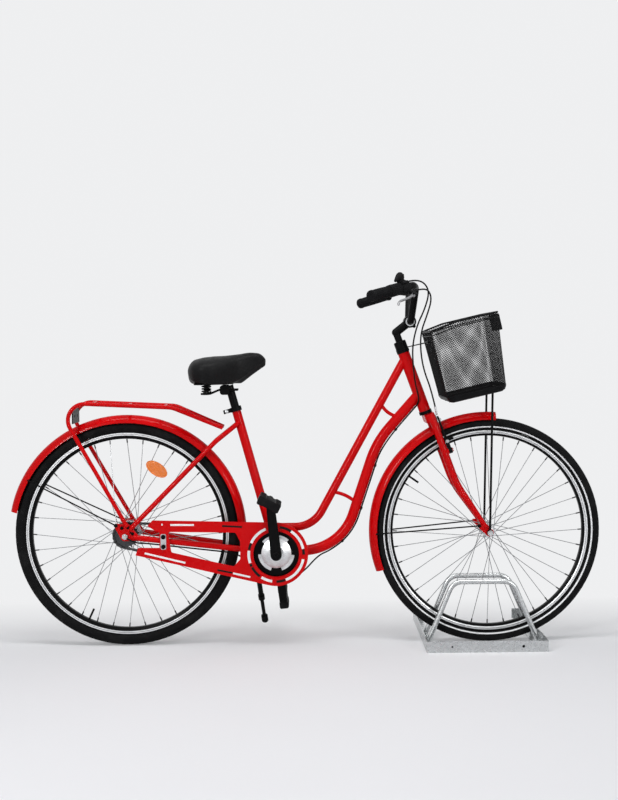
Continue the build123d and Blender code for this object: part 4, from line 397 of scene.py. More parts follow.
class Shape:
    """Points and faces gathered for one piece."""

    def __init__(self):
        self.points = []
        self.faces = []

    def add(self, points, faces):
        start = len(self.points)
        self.points += [tuple(point) for point in points]
        self.faces += [tuple(start + i for i in face) for face in faces]

    def rings(self, rings, closed=False, caps=True):
        """A skin over rings of points that all have the same count."""
        count = len(rings[0])
        faces = []
        for i in range(len(rings) if closed else len(rings) - 1):
            low, high = i * count, (i + 1) % len(rings) * count
            for k in range(count):
                after = (k + 1) % count
                faces.append((low + k, low + after, high + after, high + k))
        if caps and not closed:
            faces.append(tuple(reversed(range(count))))
            faces.append(tuple(range((len(rings) - 1) * count, len(rings) * count)))
        self.add([point for ring in rings for point in ring], faces)

    def tube(self, line, radius, sides=10, closed=False):
        """A round bar along a line of close points."""
        line = [Vector(point) for point in line]
        rings, across = [], None
        for i, point in enumerate(line):
            before = line[i - 1] if i or closed else point
            after = line[(i + 1) % len(line)] if i + 1 < len(line) or closed else point
            way = (after - before).normalized()
            if across is None:
                across = way.orthogonal()
            across = (across - way * across.dot(way)).normalized()
            up = way.cross(across)
            turns = [tau * k / sides for k in range(sides)]
            rings.append([point + (across * cos(a) + up * sin(a)) * radius for a in turns])
        self.rings(rings, closed)

    def lathe(self, start, way, profile, sides=24, flute=None, bored=False):
        """A turned piece: a profile of millimetres along a way and out from it.

        A flute shapes it all round. A bored piece's profile runs back to its start, so it has no end faces.
        """
        way = Vector(way).normalized()
        across = way.orthogonal().normalized()
        up = way.cross(across)
        rings = []
        for along, radius in profile:
            ring = []
            for k in range(sides):
                angle = tau * k / sides
                reach = (flute(along, angle, radius) if flute else radius) / 1000
                out = (across * cos(angle) + up * sin(angle)) * reach
                ring.append(Vector(start) + way * along / 1000 + out)
            rings.append(ring)
        self.rings(rings, closed=bored)

    def bar(self, centre, x, y, z, size, chamfer):
        """A block with chamfered edges; its size and chamfer are in millimetres."""
        half = [side / 2000 for side in size]
        cut = chamfer / 1000
        rings = []
        for height, inset in ((-half[2], cut), (-half[2] + cut, 0), (half[2] - cut, 0), (half[2], cut)):
            a, b = half[0] - inset, half[1] - inset
            outline = [(a - cut, b), (-a + cut, b), (-a, b - cut), (-a, -b + cut)]
            outline += [(-a + cut, -b), (a - cut, -b), (a, -b + cut), (a, b - cut)]
            rings.append([Vector(centre) + x * u + y * v + z * height for u, v in outline])
        self.rings(rings)

    def bolt(self, centre, way, radius, height):
        """A domed bolt head with a hexagon socket, on a washer."""
        r, h = radius, height
        self.lathe(centre, way, [(0, r * 1.3), (0.5, r * 1.35), (1.0, r * 1.3), (1.0, r)])
        dome = [(0.9, r), (h * 0.6, r), (h * 0.9, r * 0.86), (h, r * 0.62)]
        self.lathe(centre, way, dome + [(h, r * 0.5), (h * 0.45, r * 0.48)])

    def nut(self, centre, way, radius, height):
        """A hexagon nut with its corners turned off."""
        trim = radius * 0.86
        profile = [(0, trim), (height * 0.14, radius), (height * 0.86, radius), (height, trim)]
        self.lathe(centre, way, profile, 6)


def placed(name, data):
    """A new object in the scene."""
    made = bpy.data.objects.new(name, data)
    bpy.context.scene.collection.objects.link(made)
    return made


def smooth_mesh(name, shape, material):
    """A new object with a smooth mesh."""
    mesh = bpy.data.meshes.new(name)
    mesh.from_pydata(shape.points, [], shape.faces)
    mesh.update()
    mesh.shade_smooth()
    mesh.materials.append(material)
    return placed(name, mesh)


def piece(name, shape, body, slot, replaces=(), material=None, crease=40):
    """A finished mesh that rides on a body. It has its slot's finish unless it is given another material."""
    made = smooth_mesh(name, shape, material or finishes[slot])
    made.data.set_sharp_from_angle(angle=radians(crease))
    if body:
        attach(made, body)
    if replaces:
        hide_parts(*replaces)
    return made


def smooth_line(route):
    """The smooth line of a route in millimetres, read from a spline that the route's points control."""
    curve = bpy.data.curves.new("route", "CURVE")
    curve.dimensions = "3D"
    spline = curve.splines.new("NURBS")
    spline.points.add(len(route) - 1)
    for point, place in zip(spline.points, route):
        point.co = (*mm(*place), 1.0)
    spline.order_u = 3
    spline.use_endpoint_u = True
    spline.resolution_u = 10
    holder = bpy.data.objects.new("route", curve)
    mesh = bpy.data.meshes.new_from_object(holder)
    line = [vertex.co.copy() for vertex in mesh.vertices]
    bpy.data.meshes.remove(mesh)
    bpy.data.objects.remove(holder)
    bpy.data.curves.remove(curve)
    return line


def along(line, reach):
    """The place and the way at a distance along a line."""
    for a, b in zip(line, line[1:]):
        step = (b - a).length
        if reach <= step:
            return a + (b - a) * (reach / step), (b - a).normalized()
        reach -= step
    return line[-1], (line[-1] - line[-2]).normalized()


# Cables
CABLE_DIAMETER = 0.0048
BRAKE_ROUTE = [
    (315.2, -189.6, 1083.8), (340.7, -162.3, 1090.8), (372.3, -120, 1092),
    (386.3, -86, 1064), (374.3, -58, 1016), (356.3, -44, 964),
    (356.3, -40, 904), (366.3, -43, 846), (388.3, -45, 788),
    (405.7, -42, 711.5),
]
LOOP_ROUTE = [
    (301.9, -204.6, 1111.1), (326.1, -178.8, 1117.7), (359.3, -130, 1112),
    (378.3, -92, 1085), (367.3, -66, 1036), (344.3, -48, 985),
    (331.3, -40, 925), (333.3, -36, 865), (340.3, -31, 806),
    (355.3, -25, 752), (333.3, 0, 723.3), (302.1, 0, 688),
]
GEAR_ROUTE = [
    (301.8, 0, 687.7), (238.7, 0, 616.5), (208.6, 0, 526.4),
    (174.4, 0, 424.1), (156, 0, 369.3), (121.7, 0, 322.8),
    (74.8, 0, 289), (38.7, 0, 274.5), (-7.3, -4, 224),
    (-52.3, -8, 197), (-97.3, -13, 199), (-137.3, -20, 228),
    (-172.3, -27, 262), (-222.7, -34, 290.5), (-280.3, -39.4, 298.2),
    (-459.2, -56.1, 322.3), (-490.7, -59, 326.5), (-518.7, -74, 329.5),
    (-545.7, -79, 345),
]


def cable(name, route, body, node):
    """A cable along its route."""
    line = smooth_line(route)
    shape = Shape()
    shape.tube(line, CABLE_DIAMETER / 2, sides=12)
    made = piece(name, shape, body, "cable", (node,))
    return made, line


_, brake_line = cable("brake_cable_cover", BRAKE_ROUTE, "steering", "brake_cable")
_, gear_line = cable("gear_cable_cover", GEAR_ROUTE, "frame", "gear_cable")
loop_cable, loop_line = cable("gear_loop_cover", LOOP_ROUTE, None, "gear_cable_loop")
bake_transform(loop_cable)


# Tyres with a cut tread: the section's size in millimetres, and where the tread's zones end in degrees
TYRE_HALF_WIDTH, TYRE_HALF_HEIGHT, TYRE_CENTRE = 20, 18, 331
BEAD_LEAN, BEAD_HALF_WIDTH, BEAD_RADIUS = 150, 12.2, 317.2
RIB_END, GROOVE_END, BLOCKS_END, SHOULDER_START, SHOULDER_END = 8, 13, 40, 44, 64
BLOCKS_ROUND, TYRE_STEPS = 100, 600
GROOVE_DEPTH, SHOULDER_GROOVE_DEPTH, SHOULDER_CUT_DEPTH = 1.4, 1.2, 1.3


def tread_depth(lean, turn):
    """How deep the tread is cut, in millimetres, at a lean from the crown and a turn round the wheel."""
    side = abs(lean)
    blocks = turn * BLOCKS_ROUND / tau
    if side < RIB_END:
        return 0.0
    if side < GROOVE_END:
        return GROOVE_DEPTH
    if side < BLOCKS_END:
        slant = side / 30 * copysign(1, lean)
        return GROOVE_DEPTH if (blocks + slant) % 1 < 0.24 else 0.0
    if side < SHOULDER_START:
        return SHOULDER_GROOVE_DEPTH
    if side < SHOULDER_END:
        return SHOULDER_CUT_DEPTH if (blocks + 0.5) % 1 < 0.32 else 0.0
    return 0.0


def tyre(name, axle, material, body, node):
    """A tyre of full section, with centre rib, slanted blocks and shoulder blocks."""
    leans = [-118, -104, -90, -76, -66, *range(-64, 65, 4), 66, 76, 90, 104, 118]
    section = [(-BEAD_LEAN, -BEAD_HALF_WIDTH, BEAD_RADIUS)]
    for lean in leans:
        angle = radians(lean)
        height = TYRE_CENTRE + TYRE_HALF_HEIGHT * cos(angle)
        section.append((lean, TYRE_HALF_WIDTH * sin(angle), height))
    section.append((BEAD_LEAN, BEAD_HALF_WIDTH, BEAD_RADIUS))
    rings = []
    for i in range(TYRE_STEPS):
        turn = tau * i / TYRE_STEPS
        out = Vector((cos(turn), 0, sin(turn)))
        ring = []
        for lean, y, radius in section:
            cut = tread_depth(lean, turn)
            inward = radians(lean)
            y, radius = y - cut * sin(inward), radius - cut * cos(inward)
            ring.append(axle + (SIDE * y + out * radius) / 1000)
        rings.append(ring)
    shape = Shape()
    shape.rings(rings, closed=True)
    piece(name, shape, body, "tyre", (node,), material=material, crease=30)


tyre("front_tyre_tread", FRONT_AXLE, front_rubber, "front_wheel", "front_tyre")
tyre("rear_tyre_tread", REAR_AXLE, finishes["tyre"], "rear_wheel", "rear_tyre")


# Saddle
def through(xs, ys, x):
    """A smooth curve through points, read at one place."""
    slopes = np.gradient(ys, xs)
    i = int(np.clip(np.searchsorted(xs, x) - 1, 0, len(xs) - 2))
    width = xs[i + 1] - xs[i]
    t = (x - xs[i]) / width
    blend = t * t * (3 - 2 * t)
    bend = slopes[i] * t * (1 - t) ** 2 + slopes[i + 1] * t * t * (t - 1)
    return ys[i] * (1 - blend) + ys[i + 1] * blend + width * bend


# The saddle's slices: where they lie, half their width, and the levels of their crown, shoulder and hem
SADDLE_REAR, SADDLE_SLICES = -353.7, 54
SADDLE_PLATE, SADDLE_HOLLOW = 812.5, 14
SADDLE_X = [-5, -1, 8, 30, 65, 110, 150, 195, 222, 231, 234.5]
SADDLE_HALF = [34, 54, 76, 99, 105, 79, 45, 29, 22, 15, 7]
SADDLE_TOP = [858, 868.5, 881, 890.5, 896, 898.5, 902.5, 907, 900, 891, 886]
SADDLE_SHOULDER = [851, 852, 854, 857, 859, 863, 875, 890, 889, 886, 884]
SADDLE_LOW = [846, 836, 826, 817.5, 813.5, 811.5, 822, 854, 873, 879, 881.5]


def saddle_ring(x):
    """One closed slice across the saddle, from its crown round one flank, underneath and back."""
    half, top, shoulder, low = (
        through(SADDLE_X, values, x) for values in (SADDLE_HALF, SADDLE_TOP, SADDLE_SHOULDER, SADDLE_LOW)
    )
    right = []
    for k in range(9):
        angle = radians(90 - 90 * k / 8)
        out, rise = cos(angle) ** 0.85, sin(angle) ** 0.95
        right.append((half * out, shoulder + (top - shoulder) * rise))
    hem = min(low + 3, shoulder - 1)
    for k in range(1, 7):
        share = k / 6
        right.append((half * (1 - 0.13 * share**1.6), shoulder + (hem - shoulder) * share))
    under = max(min(low, SADDLE_PLATE), low - SADDLE_HOLLOW)
    right += [(half * 0.85, low + 0.8), (half * 0.78, low)]
    right += [(half * 0.6, (low + under) / 2), (half * 0.4, under)]
    left = [(-y, z) for y, z in reversed(right[1:])]
    return [mm(SADDLE_REAR + x, y, z) for y, z in [*right, (0.0, under), *left]]


saddle_shape = Shape()
saddle_shape.rings([saddle_ring(x) for x in np.linspace(SADDLE_X[0], SADDLE_X[-1], SADDLE_SLICES)])
saddle = piece("saddle_pad", saddle_shape, "seat", "saddle_skin", ("saddle_cover",), crease=70)
saddle.modifiers.new("soften", "SUBSURF").render_levels = 1


def helix(centre, radius, low, high, turns):
    """The line of a coil spring with closed end turns, in millimetres."""
    line = []
    count = turns * 20
    for i in range(count + 1):
        share = i / count
        rise = share * share * (3 - 2 * share) * 0.4 + share * 0.6
        angle = tau * turns * share
        x, y = centre[0] + radius * cos(angle), centre[1] + radius * sin(angle)
        line.append(mm(x, y, low + (high - low) * rise))
    return line


SPRING_X, SPRING_Y, SPRING_RADIUS, SPRING_TURNS = -303.7, 42, 10, 3
SPRING_LOW, SPRING_HIGH, SPRING_WIRE = 787.4, 807.5, 0.0022
springs = Shape()
for side in (-1, 1):
    coil = helix((SPRING_X, side * SPRING_Y), SPRING_RADIUS, SPRING_LOW, SPRING_HIGH, SPRING_TURNS)
    springs.tube(coil, SPRING_WIRE)
piece("saddle_coils", springs, "seat", "black_metal", ("saddle_springs",))


# Basket: walls and floor are lattices of wire over the CAD's form. Sizes are in millimetres, wires in metres
BASKET_ORIGIN = mm(520.296, 0, 768)
BASKET_TIP = radians(13)
BASKET_X = Vector((cos(BASKET_TIP), 0, sin(BASKET_TIP)))
BASKET_Z = Vector((-sin(BASKET_TIP), 0, cos(BASKET_TIP)))
BASKET_LOWER, BASKET_UPPER, BASKET_SHIFT = (181, 270), (208, 326), 8
BASKET_HEIGHT, BASKET_CORNER, BASKET_ROUND = 238, 26, 20
BASKET_DIP, BASKET_DIP_START = 12, 22
LONG_COLUMNS, SHORT_COLUMNS, CORNER_COLUMNS, BASKET_ROWS = 68, 40, 12, 66
BASKET_COLUMNS = 2 * (LONG_COLUMNS + SHORT_COLUMNS) + 4 * CORNER_COLUMNS


def basket_outline(size):
    """A rounded rectangle, as points that match column by column from one size to another."""
    x, y = size[0] / 2 - BASKET_CORNER, size[1] / 2 - BASKET_CORNER
    corners = [Vector(corner) for corner in ((x, y), (-x, y), (-x, -y), (x, -y))]
    points = []
    for i, corner in enumerate(corners):
        for k in range(CORNER_COLUMNS + 1):
            angle = radians(90 * (i + k / CORNER_COLUMNS))
            reach = Vector((cos(angle), sin(angle))) * BASKET_CORNER
            points.append(corner + reach)
        run = SHORT_COLUMNS if i % 2 == 0 else LONG_COLUMNS
        end = corners[(i + 1) % 4] + reach
        points += [points[-1].lerp(end, k / run) for k in range(1, run)]
    return points


LOWER_OUTLINE = basket_outline(BASKET_LOWER)
UPPER_OUTLINE = basket_outline(BASKET_UPPER)


def in_basket(x, y, z):
    """A point measured in the basket's own tipped frame."""
    return BASKET_ORIGIN + (BASKET_X * x + SIDE * y + BASKET_Z * z) / 1000


def basket_facing(column):
    """The way that the basket's wall faces at a column, seen from above."""
    before, after = LOWER_OUTLINE[column - 1], LOWER_OUTLINE[(column + 1) % BASKET_COLUMNS]
    return Vector((after[1] - before[1], before[0] - after[0])).normalized()


def foot_inset(height):
    """How far the rounded foot of the basket's walls draws in at a height."""
    below = max(0.0, BASKET_ROUND - height)
    return BASKET_ROUND - sqrt(BASKET_ROUND**2 - below**2)


def basket_wall(column, share, out=0.0):
    """A point of the basket's wall, at a column and a share of its height, moved outwards."""
    column %= BASKET_COLUMNS
    x0, y0 = LOWER_OUTLINE[column]
    x1, y1 = UPPER_OUTLINE[column]
    x1 += BASKET_SHIFT
    dip = max(0.0, (-BASKET_DIP_START - x1) / (BASKET_UPPER[0] / 2 - BASKET_DIP_START))
    top = BASKET_HEIGHT - BASKET_DIP * dip
    rise = share * top / BASKET_HEIGHT
    x, y = x0 + (x1 - x0) * rise, y0 + (y1 - y0) * rise
    away = basket_facing(column) * (out - foot_inset(share * top))
    return in_basket(x + away.x, y + away.y, share * top)


def lattice(name, point, columns, rows, wrap, thickness, heft=None):
    """Diamonds of wire over a grid of points. The heft is each column's share of the full thickness."""
    shape = Shape()
    index = {}

    def corner(i, j):
        key = (i % columns if wrap else i, j)
        if key not in index:
            index[key] = len(shape.points)
            shape.points.append(tuple(point(*key)))
        return index[key]

    for j in range(1, rows):
        for i in range(0 if wrap else 1, columns):
            if (i + j) % 2:
                around = ((i - 1, j), (i, j - 1), (i + 1, j), (i, j + 1))
                shape.faces.append(tuple(corner(*place) for place in around))
    made = piece(name, shape, "steering", "basket_mesh")
    wire = made.modifiers.new("wire", "WIREFRAME")
    wire.thickness = thickness
    if heft:
        group = made.vertex_groups.new(name="heft")
        for (i, _), vertex in index.items():
            group.add([vertex], heft(i), "REPLACE")
        wire.vertex_group = group.name
    return made


WIRE_INSET, WALL_WIRE, FLOOR_WIRE = -1.5, 0.0015, 0.001
WALL_FOOT, WALL_RISE = 0.012, 0.98


def wall_point(i, j):
    """A point of the walls' lattice."""
    return basket_wall(i, WALL_FOOT + WALL_RISE * j / BASKET_ROWS, WIRE_INSET)


def wall_heft(i):
    """Full wires on the side walls, half as thick on the front and rear ones."""
    return 0.5 + 0.5 * abs(basket_facing(i).y)


walls = lattice("basket_walls", wall_point, BASKET_COLUMNS, BASKET_ROWS, True, WALL_WIRE, wall_heft)
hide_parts("basket")
FLOOR_COLUMNS, FLOOR_ROWS, FLOOR_LEVEL = 48, 72, 2.0


def basket_floor(i, j):
    """A point of the basket's floor, drawn in at its rounded corners."""
    inset = foot_inset(FLOOR_LEVEL)
    half_x, half_y = BASKET_LOWER[0] / 2 - inset, BASKET_LOWER[1] / 2 - inset
    x, y = (2 * i / FLOOR_COLUMNS - 1) * half_x, (2 * j / FLOOR_ROWS - 1) * half_y
    turn = BASKET_CORNER - inset
    over_x, over_y = abs(x) - half_x + turn, abs(y) - half_y + turn
    if over_x > 0 and over_y > 0 and hypot(over_x, over_y) > turn:
        pull = turn / hypot(over_x, over_y)
        x = copysign(half_x - turn + over_x * pull, x)
        y = copysign(half_y - turn + over_y * pull, y)
    return in_basket(x, y, FLOOR_LEVEL)


lattice("basket_floor_mesh", basket_floor, FLOOR_COLUMNS, FLOOR_ROWS, False, FLOOR_WIRE)

# Wires round the basket, a band round its foot as a section that closes on itself, and two runners below
BASKET_LOOPS = ((0.992, 0.003, -1.5), (0.93, 0.0016, -1.0), (0.03, 0.0024, -1.8))
FOOT_BAND = [(0.004, -2), (0.012, -0.4), (0.022, 0), (0.036, 0.1), (0.055, 0.1), (0.082, 0.1)]
FOOT_BAND += [(0.086, -0.2), (0.086, -1), (0.055, -1.1), (0.036, -1.1), (0.022, -1.2), (0.012, -1.8)]
RUNNER_Y, RUNNER_LEVEL, RUNNER_RADIUS = 54, 1.6, 0.0022


def basket_loop(share, out):
    """A line round the basket at a share of its height."""
    return [basket_wall(column, share, out) for column in range(BASKET_COLUMNS)]


basket_frame = Shape()
for share, radius, out in BASKET_LOOPS:
    basket_frame.tube(basket_loop(share, out), radius, closed=True)
basket_frame.rings([basket_loop(share, out) for share, out in FOOT_BAND], closed=True)
for y in (-RUNNER_Y, RUNNER_Y):
    basket_frame.tube([in_basket(x, y, RUNNER_LEVEL) for x in range(-80, 81, 8)], RUNNER_RADIUS, sides=8)
piece("basket_frame_wires", basket_frame, "steering", "basket_mesh")


# Grips, twist grip and bell
RIGHT_GRIP, LEFT_GRIP, RIB_STEP, KNURLS = 84, 128, 3, 18


def grip_profile(length):
    """The outline of a grip: end cap, swelling body with ribs, and an inner collar."""
    profile = [(-5, 9), (-5, 13.5), (-4, 16), (0, 16.8), (4, 16.8), (6, 15.6)]
    for step in range(int((length - 16) / RIB_STEP)):
        reach = 8 + step * RIB_STEP
        swell = 0.7 * sin(pi * reach / length)
        profile += [(reach, 14.9 + swell), (reach + 0.8, 15.8 + swell), (reach + 1.8, 15.8 + swell)]
    collar = [(length - 6.5, 15), (length - 6, 17.4), (length - 1, 18), (length, 17.2), (length, 11.2)]
    return profile + collar


grips = Shape()
grips.lathe(RIGHT_END, RIGHT_INWARD, grip_profile(RIGHT_GRIP), sides=40)
grips.lathe(LEFT_END, LEFT_INWARD, grip_profile(LEFT_GRIP), sides=40)
piece("grip_sleeves", grips, "steering", "black_plastic", ("grips",), material=grip_rubber, crease=50)


def knurl(along, angle, radius):
    """Rounded flutes round a twist grip."""
    return radius - 0.9 * (0.5 + 0.5 * cos(angle * KNURLS)) ** 3


twist = Shape()
twist_profile = [(84.4, 11.2), (84.4, 16.6), (86, 17.6), (90, 18.5)]
twist_profile += [(104, 18), (120, 18.4), (125, 18.5), (126.4, 11.2)]
twist.lathe(RIGHT_END, RIGHT_INWARD, twist_profile, sides=144, flute=knurl)
piece("twist_sleeve", twist, "twist_grip", "black_plastic", ("twist_grip",), material=grip_rubber, crease=60)

# Bell: a dome on a skirt, with a pod that leans up beside it
DOME_RISE, SKIRT_DROP, POD_BACK, POD_DROP = 0.0088, 0.011, 0.027, 0.004
bell = Shape()
bell_base = mm(281.2, -204.2, 1119.6)
bell_profile = [(0, 12.4), (0.8, 12.8), (1.8, 12.6), (3.4, 11.2), (4.6, 8.6)]
bell_profile += [(5.3, 5), (5.5, 2), (6.6, 1.8), (6.8, 0.6)]
bell.lathe(bell_base + RIGHT_UP * DOME_RISE, RIGHT_UP, bell_profile, sides=36)
bell_skirt = [(0, 11), (3, 11.6), (7, 11.4), (9, 10.6), (11, 11.2), (12, 12)]
bell.lathe(bell_base - RIGHT_UP * SKIRT_DROP, RIGHT_UP, bell_skirt, sides=36)
pod = [(0, 2.4), (2, 4), (6, 5.2), (14, 8), (22, 10.2), (28, 11.2), (33, 10.6), (37, 8), (39, 4)]
pod_start = bell_base - RIGHT_INWARD * POD_BACK - RIGHT_UP * POD_DROP
pod_way = RIGHT_INWARD * 0.908 + RIGHT_UP * 0.419
bell.lathe(pod_start, pod_way, pod, sides=28)
piece("bell_dome", bell, "steering", "black_plastic")

# Brake lever: a curved blade that thins and hooks away from the bar, on a bored knuckle
LEVER_PIVOT = mm(319.148, -200.594, 1073.291)
LEVER_WAY = Vector((0.627, -0.4176, -0.6576)).normalized()
LEVER_AXIS = RIGHT_INWARD.cross(LEVER_WAY).normalized()
LEVER_REACH, HOOK_START = 0.092, 0.75
LEVER_SLANT, LEVER_BOW, HOOK_DEPTH = 0.010, 0.004, 0.010


def lever_line(share):
    """The middle of the lever's blade, at a share of its reach."""
    hook = max(0.0, share - HOOK_START) / (1 - HOOK_START)
    away = LEVER_SLANT * share + LEVER_BOW * sin(pi * share) + HOOK_DEPTH * hook**2
    return LEVER_PIVOT - RIGHT_INWARD * LEVER_REACH * share + LEVER_WAY * away


def lever_ring(share, wide, thick):
    """One slice across the lever's blade, given half its width and half its thickness in millimetres."""
    run = (lever_line(share + 0.01) - lever_line(share - 0.01)).normalized()
    off = run.cross(LEVER_AXIS)
    ring = []
    for k in range(16):
        angle = tau * k / 16
        out = LEVER_AXIS * wide * cos(angle) + off * thick * sin(angle)
        ring.append(lever_line(share) + out / 1000)
    return ring


lever = Shape()
knuckle = [(-5.4, 3.2), (-5.4, 6.4), (-4.8, 7), (4.8, 7), (5.4, 6.4), (5.4, 3.2)]
lever.lathe(LEVER_PIVOT, LEVER_AXIS, knuckle, sides=28, bored=True)
blade = [(0.055, 5.2, 5.4), (0.12, 5.2, 4.4), (0.2, 4.8, 3.7), (0.3, 4.6, 3.3), (0.4, 4.6, 3.1)]
blade += [(0.5, 4.7, 2.9), (0.6, 4.9, 2.8), (0.7, 5.1, 2.8), (0.78, 5.2, 2.8), (0.86, 5.1, 2.9)]
blade += [(0.93, 4.9, 3.3), (0.98, 4.5, 3.7), (1.02, 3.8, 3.4), (1.04, 2.2, 2)]
lever.rings([lever_ring(*values) for values in blade])
lever_slot = slot_of["brake_lever"]
piece("lever_blade", lever, "brake_lever", lever_slot, ("brake_lever",), material=lever_alloy, crease=50)


# Pedal treads, in metres out from the crank's middle plane and from the pedal's axle
CRANK_LENGTH = 0.17
CRANK_TURN = {-1: 96, 1: 276}
RIBS, RIB_START, RIB_PITCH = 9, 0.097, 0.010
TREAD_APART, TREAD_FACE = 0.0245, 0.0134
PLATE_MIDDLE, PLATE_FACE, CAP_MIDDLE = 0.137, 0.0104, 0.1843
RIB_SIZE, PLATE_SIZE, CAP_SIZE = (16, 5.4, 2.6), (34, 86, 3), (67, 25, 3.4)


def pedal_eye(side):
    """The middle of a crank's far end."""
    crank = radians(CRANK_TURN[side])
    return BOTTOM_BRACKET + Vector((cos(crank), 0, sin(crank))) * CRANK_LENGTH


def pedal_treads(name, side, tilt, body):
    """Rubber ribs across both treads of a pedal, plates between the treads and a cap over its outer end."""
    eye = pedal_eye(side)
    lean = radians(tilt)
    ahead = Vector((cos(lean), 0, -sin(lean)))
    out = Vector((0, side, 0))
    up = out.cross(ahead)
    shape = Shape()
    for end in (-1, 1):
        for face in (-1, 1):
            tread = eye + ahead * end * TREAD_APART + up * face * TREAD_FACE
            for rib in range(RIBS):
                shape.bar(tread + out * (RIB_START + rib * RIB_PITCH), ahead, out, up, RIB_SIZE, 0.9)
    for face in (-1, 1):
        shape.bar(eye + out * PLATE_MIDDLE + up * face * PLATE_FACE, ahead, out, up, PLATE_SIZE, 1.0)
    shape.bar(eye + out * CAP_MIDDLE, ahead, up, out, CAP_SIZE, 1.6)
    piece(name, shape, body, "black_plastic", material=grip_rubber)


pedal_treads("right_pedal_ribs", -1, 27, "right_pedal")
pedal_treads("left_pedal_ribs", 1, 84, "left_pedal")


# Plain dashes on the chain guard: arcs on its ring and strips on its bars, in millimetres and degrees
GUARD_FACE, FILM_THICKNESS = 0.067, 0.25
DASH_LOW, DASH_HIGH, DASH_WIDTH = 80, 88, 5.5
GUARD_X, GUARD_Z = (BOTTOM_BRACKET.x - REAR_AXLE.x) * 1000, BOTTOM_BRACKET.z * 1000
PALE_ARCS = ((112, 155), (11, 57), (-70, -11), (-123, -99), (172, 198))
DARK_ARCS = ((57, 82), (-1, 10), (-90, -71), (-152, -127), (156, 170), (200, 206))
PALE_STRIPS = (
    ((138.9, 383.5), (210.9, 382.8)),
    ((111.5, 384.8), (115.5, 384.7)),
    ((59.1, 297.2), (183.1, 266.4)),
    ((328.9, 232.9), (381.4, 220.6)),
)
DARK_STRIPS = (((296.7, 378.9), (357.7, 375.2)), ((281.0, 243.5), (326.8, 234.1)))


def guard_point(x, z, lift):
    """A point off the guard's outer face, in millimetres ahead of the rear axle and above the floor."""
    return Vector((REAR_AXLE.x + x / 1000, -GUARD_FACE - lift / 1000, z / 1000))


def arc_dash(start, end):
    """The outline of a dash along the guard's ring, between two angles."""
    turns = [radians(start + (end - start) * k / 8) for k in range(9)]
    outline = [(GUARD_X + DASH_LOW * cos(a), GUARD_Z + DASH_LOW * sin(a)) for a in turns]
    turns.reverse()
    return outline + [(GUARD_X + DASH_HIGH * cos(a), GUARD_Z + DASH_HIGH * sin(a)) for a in turns]


def strip_dash(start, end):
    """The outline of a dash along one of the guard's bars."""
    start, end = Vector(start), Vector(end)
    way = (end - start).normalized() * DASH_WIDTH / 2
    side = Vector((-way.y, way.x))
    return [start + side, start - side, end - side, end + side]


def guard_dashes(name, arcs, strips, material):
    """All dashes of one colour, as thin films on the guard's face."""
    shape = Shape()
    for outline in [arc_dash(*ends) for ends in arcs] + [strip_dash(*ends) for ends in strips]:
        shape.rings([[guard_point(x, z, lift) for x, z in outline] for lift in (0.0, FILM_THICKNESS)])
    piece(name, shape, "frame", "guard_paint", material=material)


guard_dashes("guard_pale_dashes", PALE_ARCS, PALE_STRIPS, pale_film)
guard_dashes("guard_dark_dashes", DARK_ARCS, DARK_STRIPS, dark_film)


# Bolts of the cranks and of the frame, the frame's points in the guard's millimetres
CRANK_FACE, EYE_FACE = 0.086, 0.072
BRACKET_BOLTS, BRACKET_LIFT = ((117.0, 317), (117.0, 347)), 5.6
DROPOUT_BOLTS, DROPOUT_LIFT = ((22.3, 357.4), (9.2, 376.3), (-9.4, 374.9)), -2.0
SEAT_TUBE_TOP, EAR_BACK, EAR_DROP, EAR_FACE = 0.736, 0.029, 0.003, 0.010
crank_bolts, dark_bolts, bright_bolts = Shape(), Shape(), Shape()
for side in (-1, 1):
    way = SIDE * side
    crank_bolts.bolt(BOTTOM_BRACKET + way * CRANK_FACE, way, 9.0, 4.0)
    crank_bolts.bolt(pedal_eye(side) + way * EYE_FACE, -way, 4.2, 2.2)
for x, z in BRACKET_BOLTS:
    dark_bolts.bolt(guard_point(x, z, BRACKET_LIFT), -SIDE, 5.2, 4.0)
for x, z in DROPOUT_BOLTS:
    dark_bolts.bolt(guard_point(x, z, DROPOUT_LIFT), -SIDE, 4.0, 4.0)
seat_top = BOTTOM_BRACKET + SEAT_UP * ((SEAT_TUBE_TOP - BOTTOM_BRACKET.z) / SEAT_UP.z)
seat_back = Vector((-SEAT_UP.z, 0, SEAT_UP.x))
clamp_ear = seat_top + seat_back * EAR_BACK - SEAT_UP * EAR_DROP
for side in (-1, 1):
    bright_bolts.bolt(clamp_ear + SIDE * side * EAR_FACE, SIDE * side, 4.4, 5.0)
piece("crank_bolts", crank_bolts, "crank", "black_metal")
piece("frame_bolts_dark", dark_bolts, "frame", "black_metal")
piece("frame_bolts_bright", bright_bolts, "frame", "bright_steel")


# Brake arms: a bored knuckle on the boss, a tapering arm that leans in to the cable, and a pad on its post
ARM_PLANE, ARM_OUT, ARM_FOOT, ARM_LENGTH, ARM_LEAN = 27, 54, 261, 107, 12
PAD_LEVEL, PAD_FACE, PAD_THICKNESS, PAD_LENGTH, PAD_BLOCKS = 291, 14.2, 8, 50, (-15, 0, 15)
ARM_KNUCKLE = [(-5.4, 6.3), (-5.4, 8.8), (-4.6, 9.4), (4.6, 9.4), (5.4, 8.8), (5.4, 6.3)]
ARM_SLICES = [(0.07, 5, 5), (0.12, 6.8, 5.2), (0.22, 7.2, 5.2), (0.34, 6.8, 4.8), (0.42, 5.4, 4)]
ARM_SLICES += [(0.6, 4.9, 3.4), (0.8, 4.6, 3.1), (0.9, 5, 3.2), (0.97, 5, 3.2), (1.02, 4, 2.6)]
ARM_SLICES += [(1.04, 2, 1.6)]
PAD_POST = [(0, 3), (0, 5.2), (2.4, 5.2), (2.6, 3), (12, 3)]
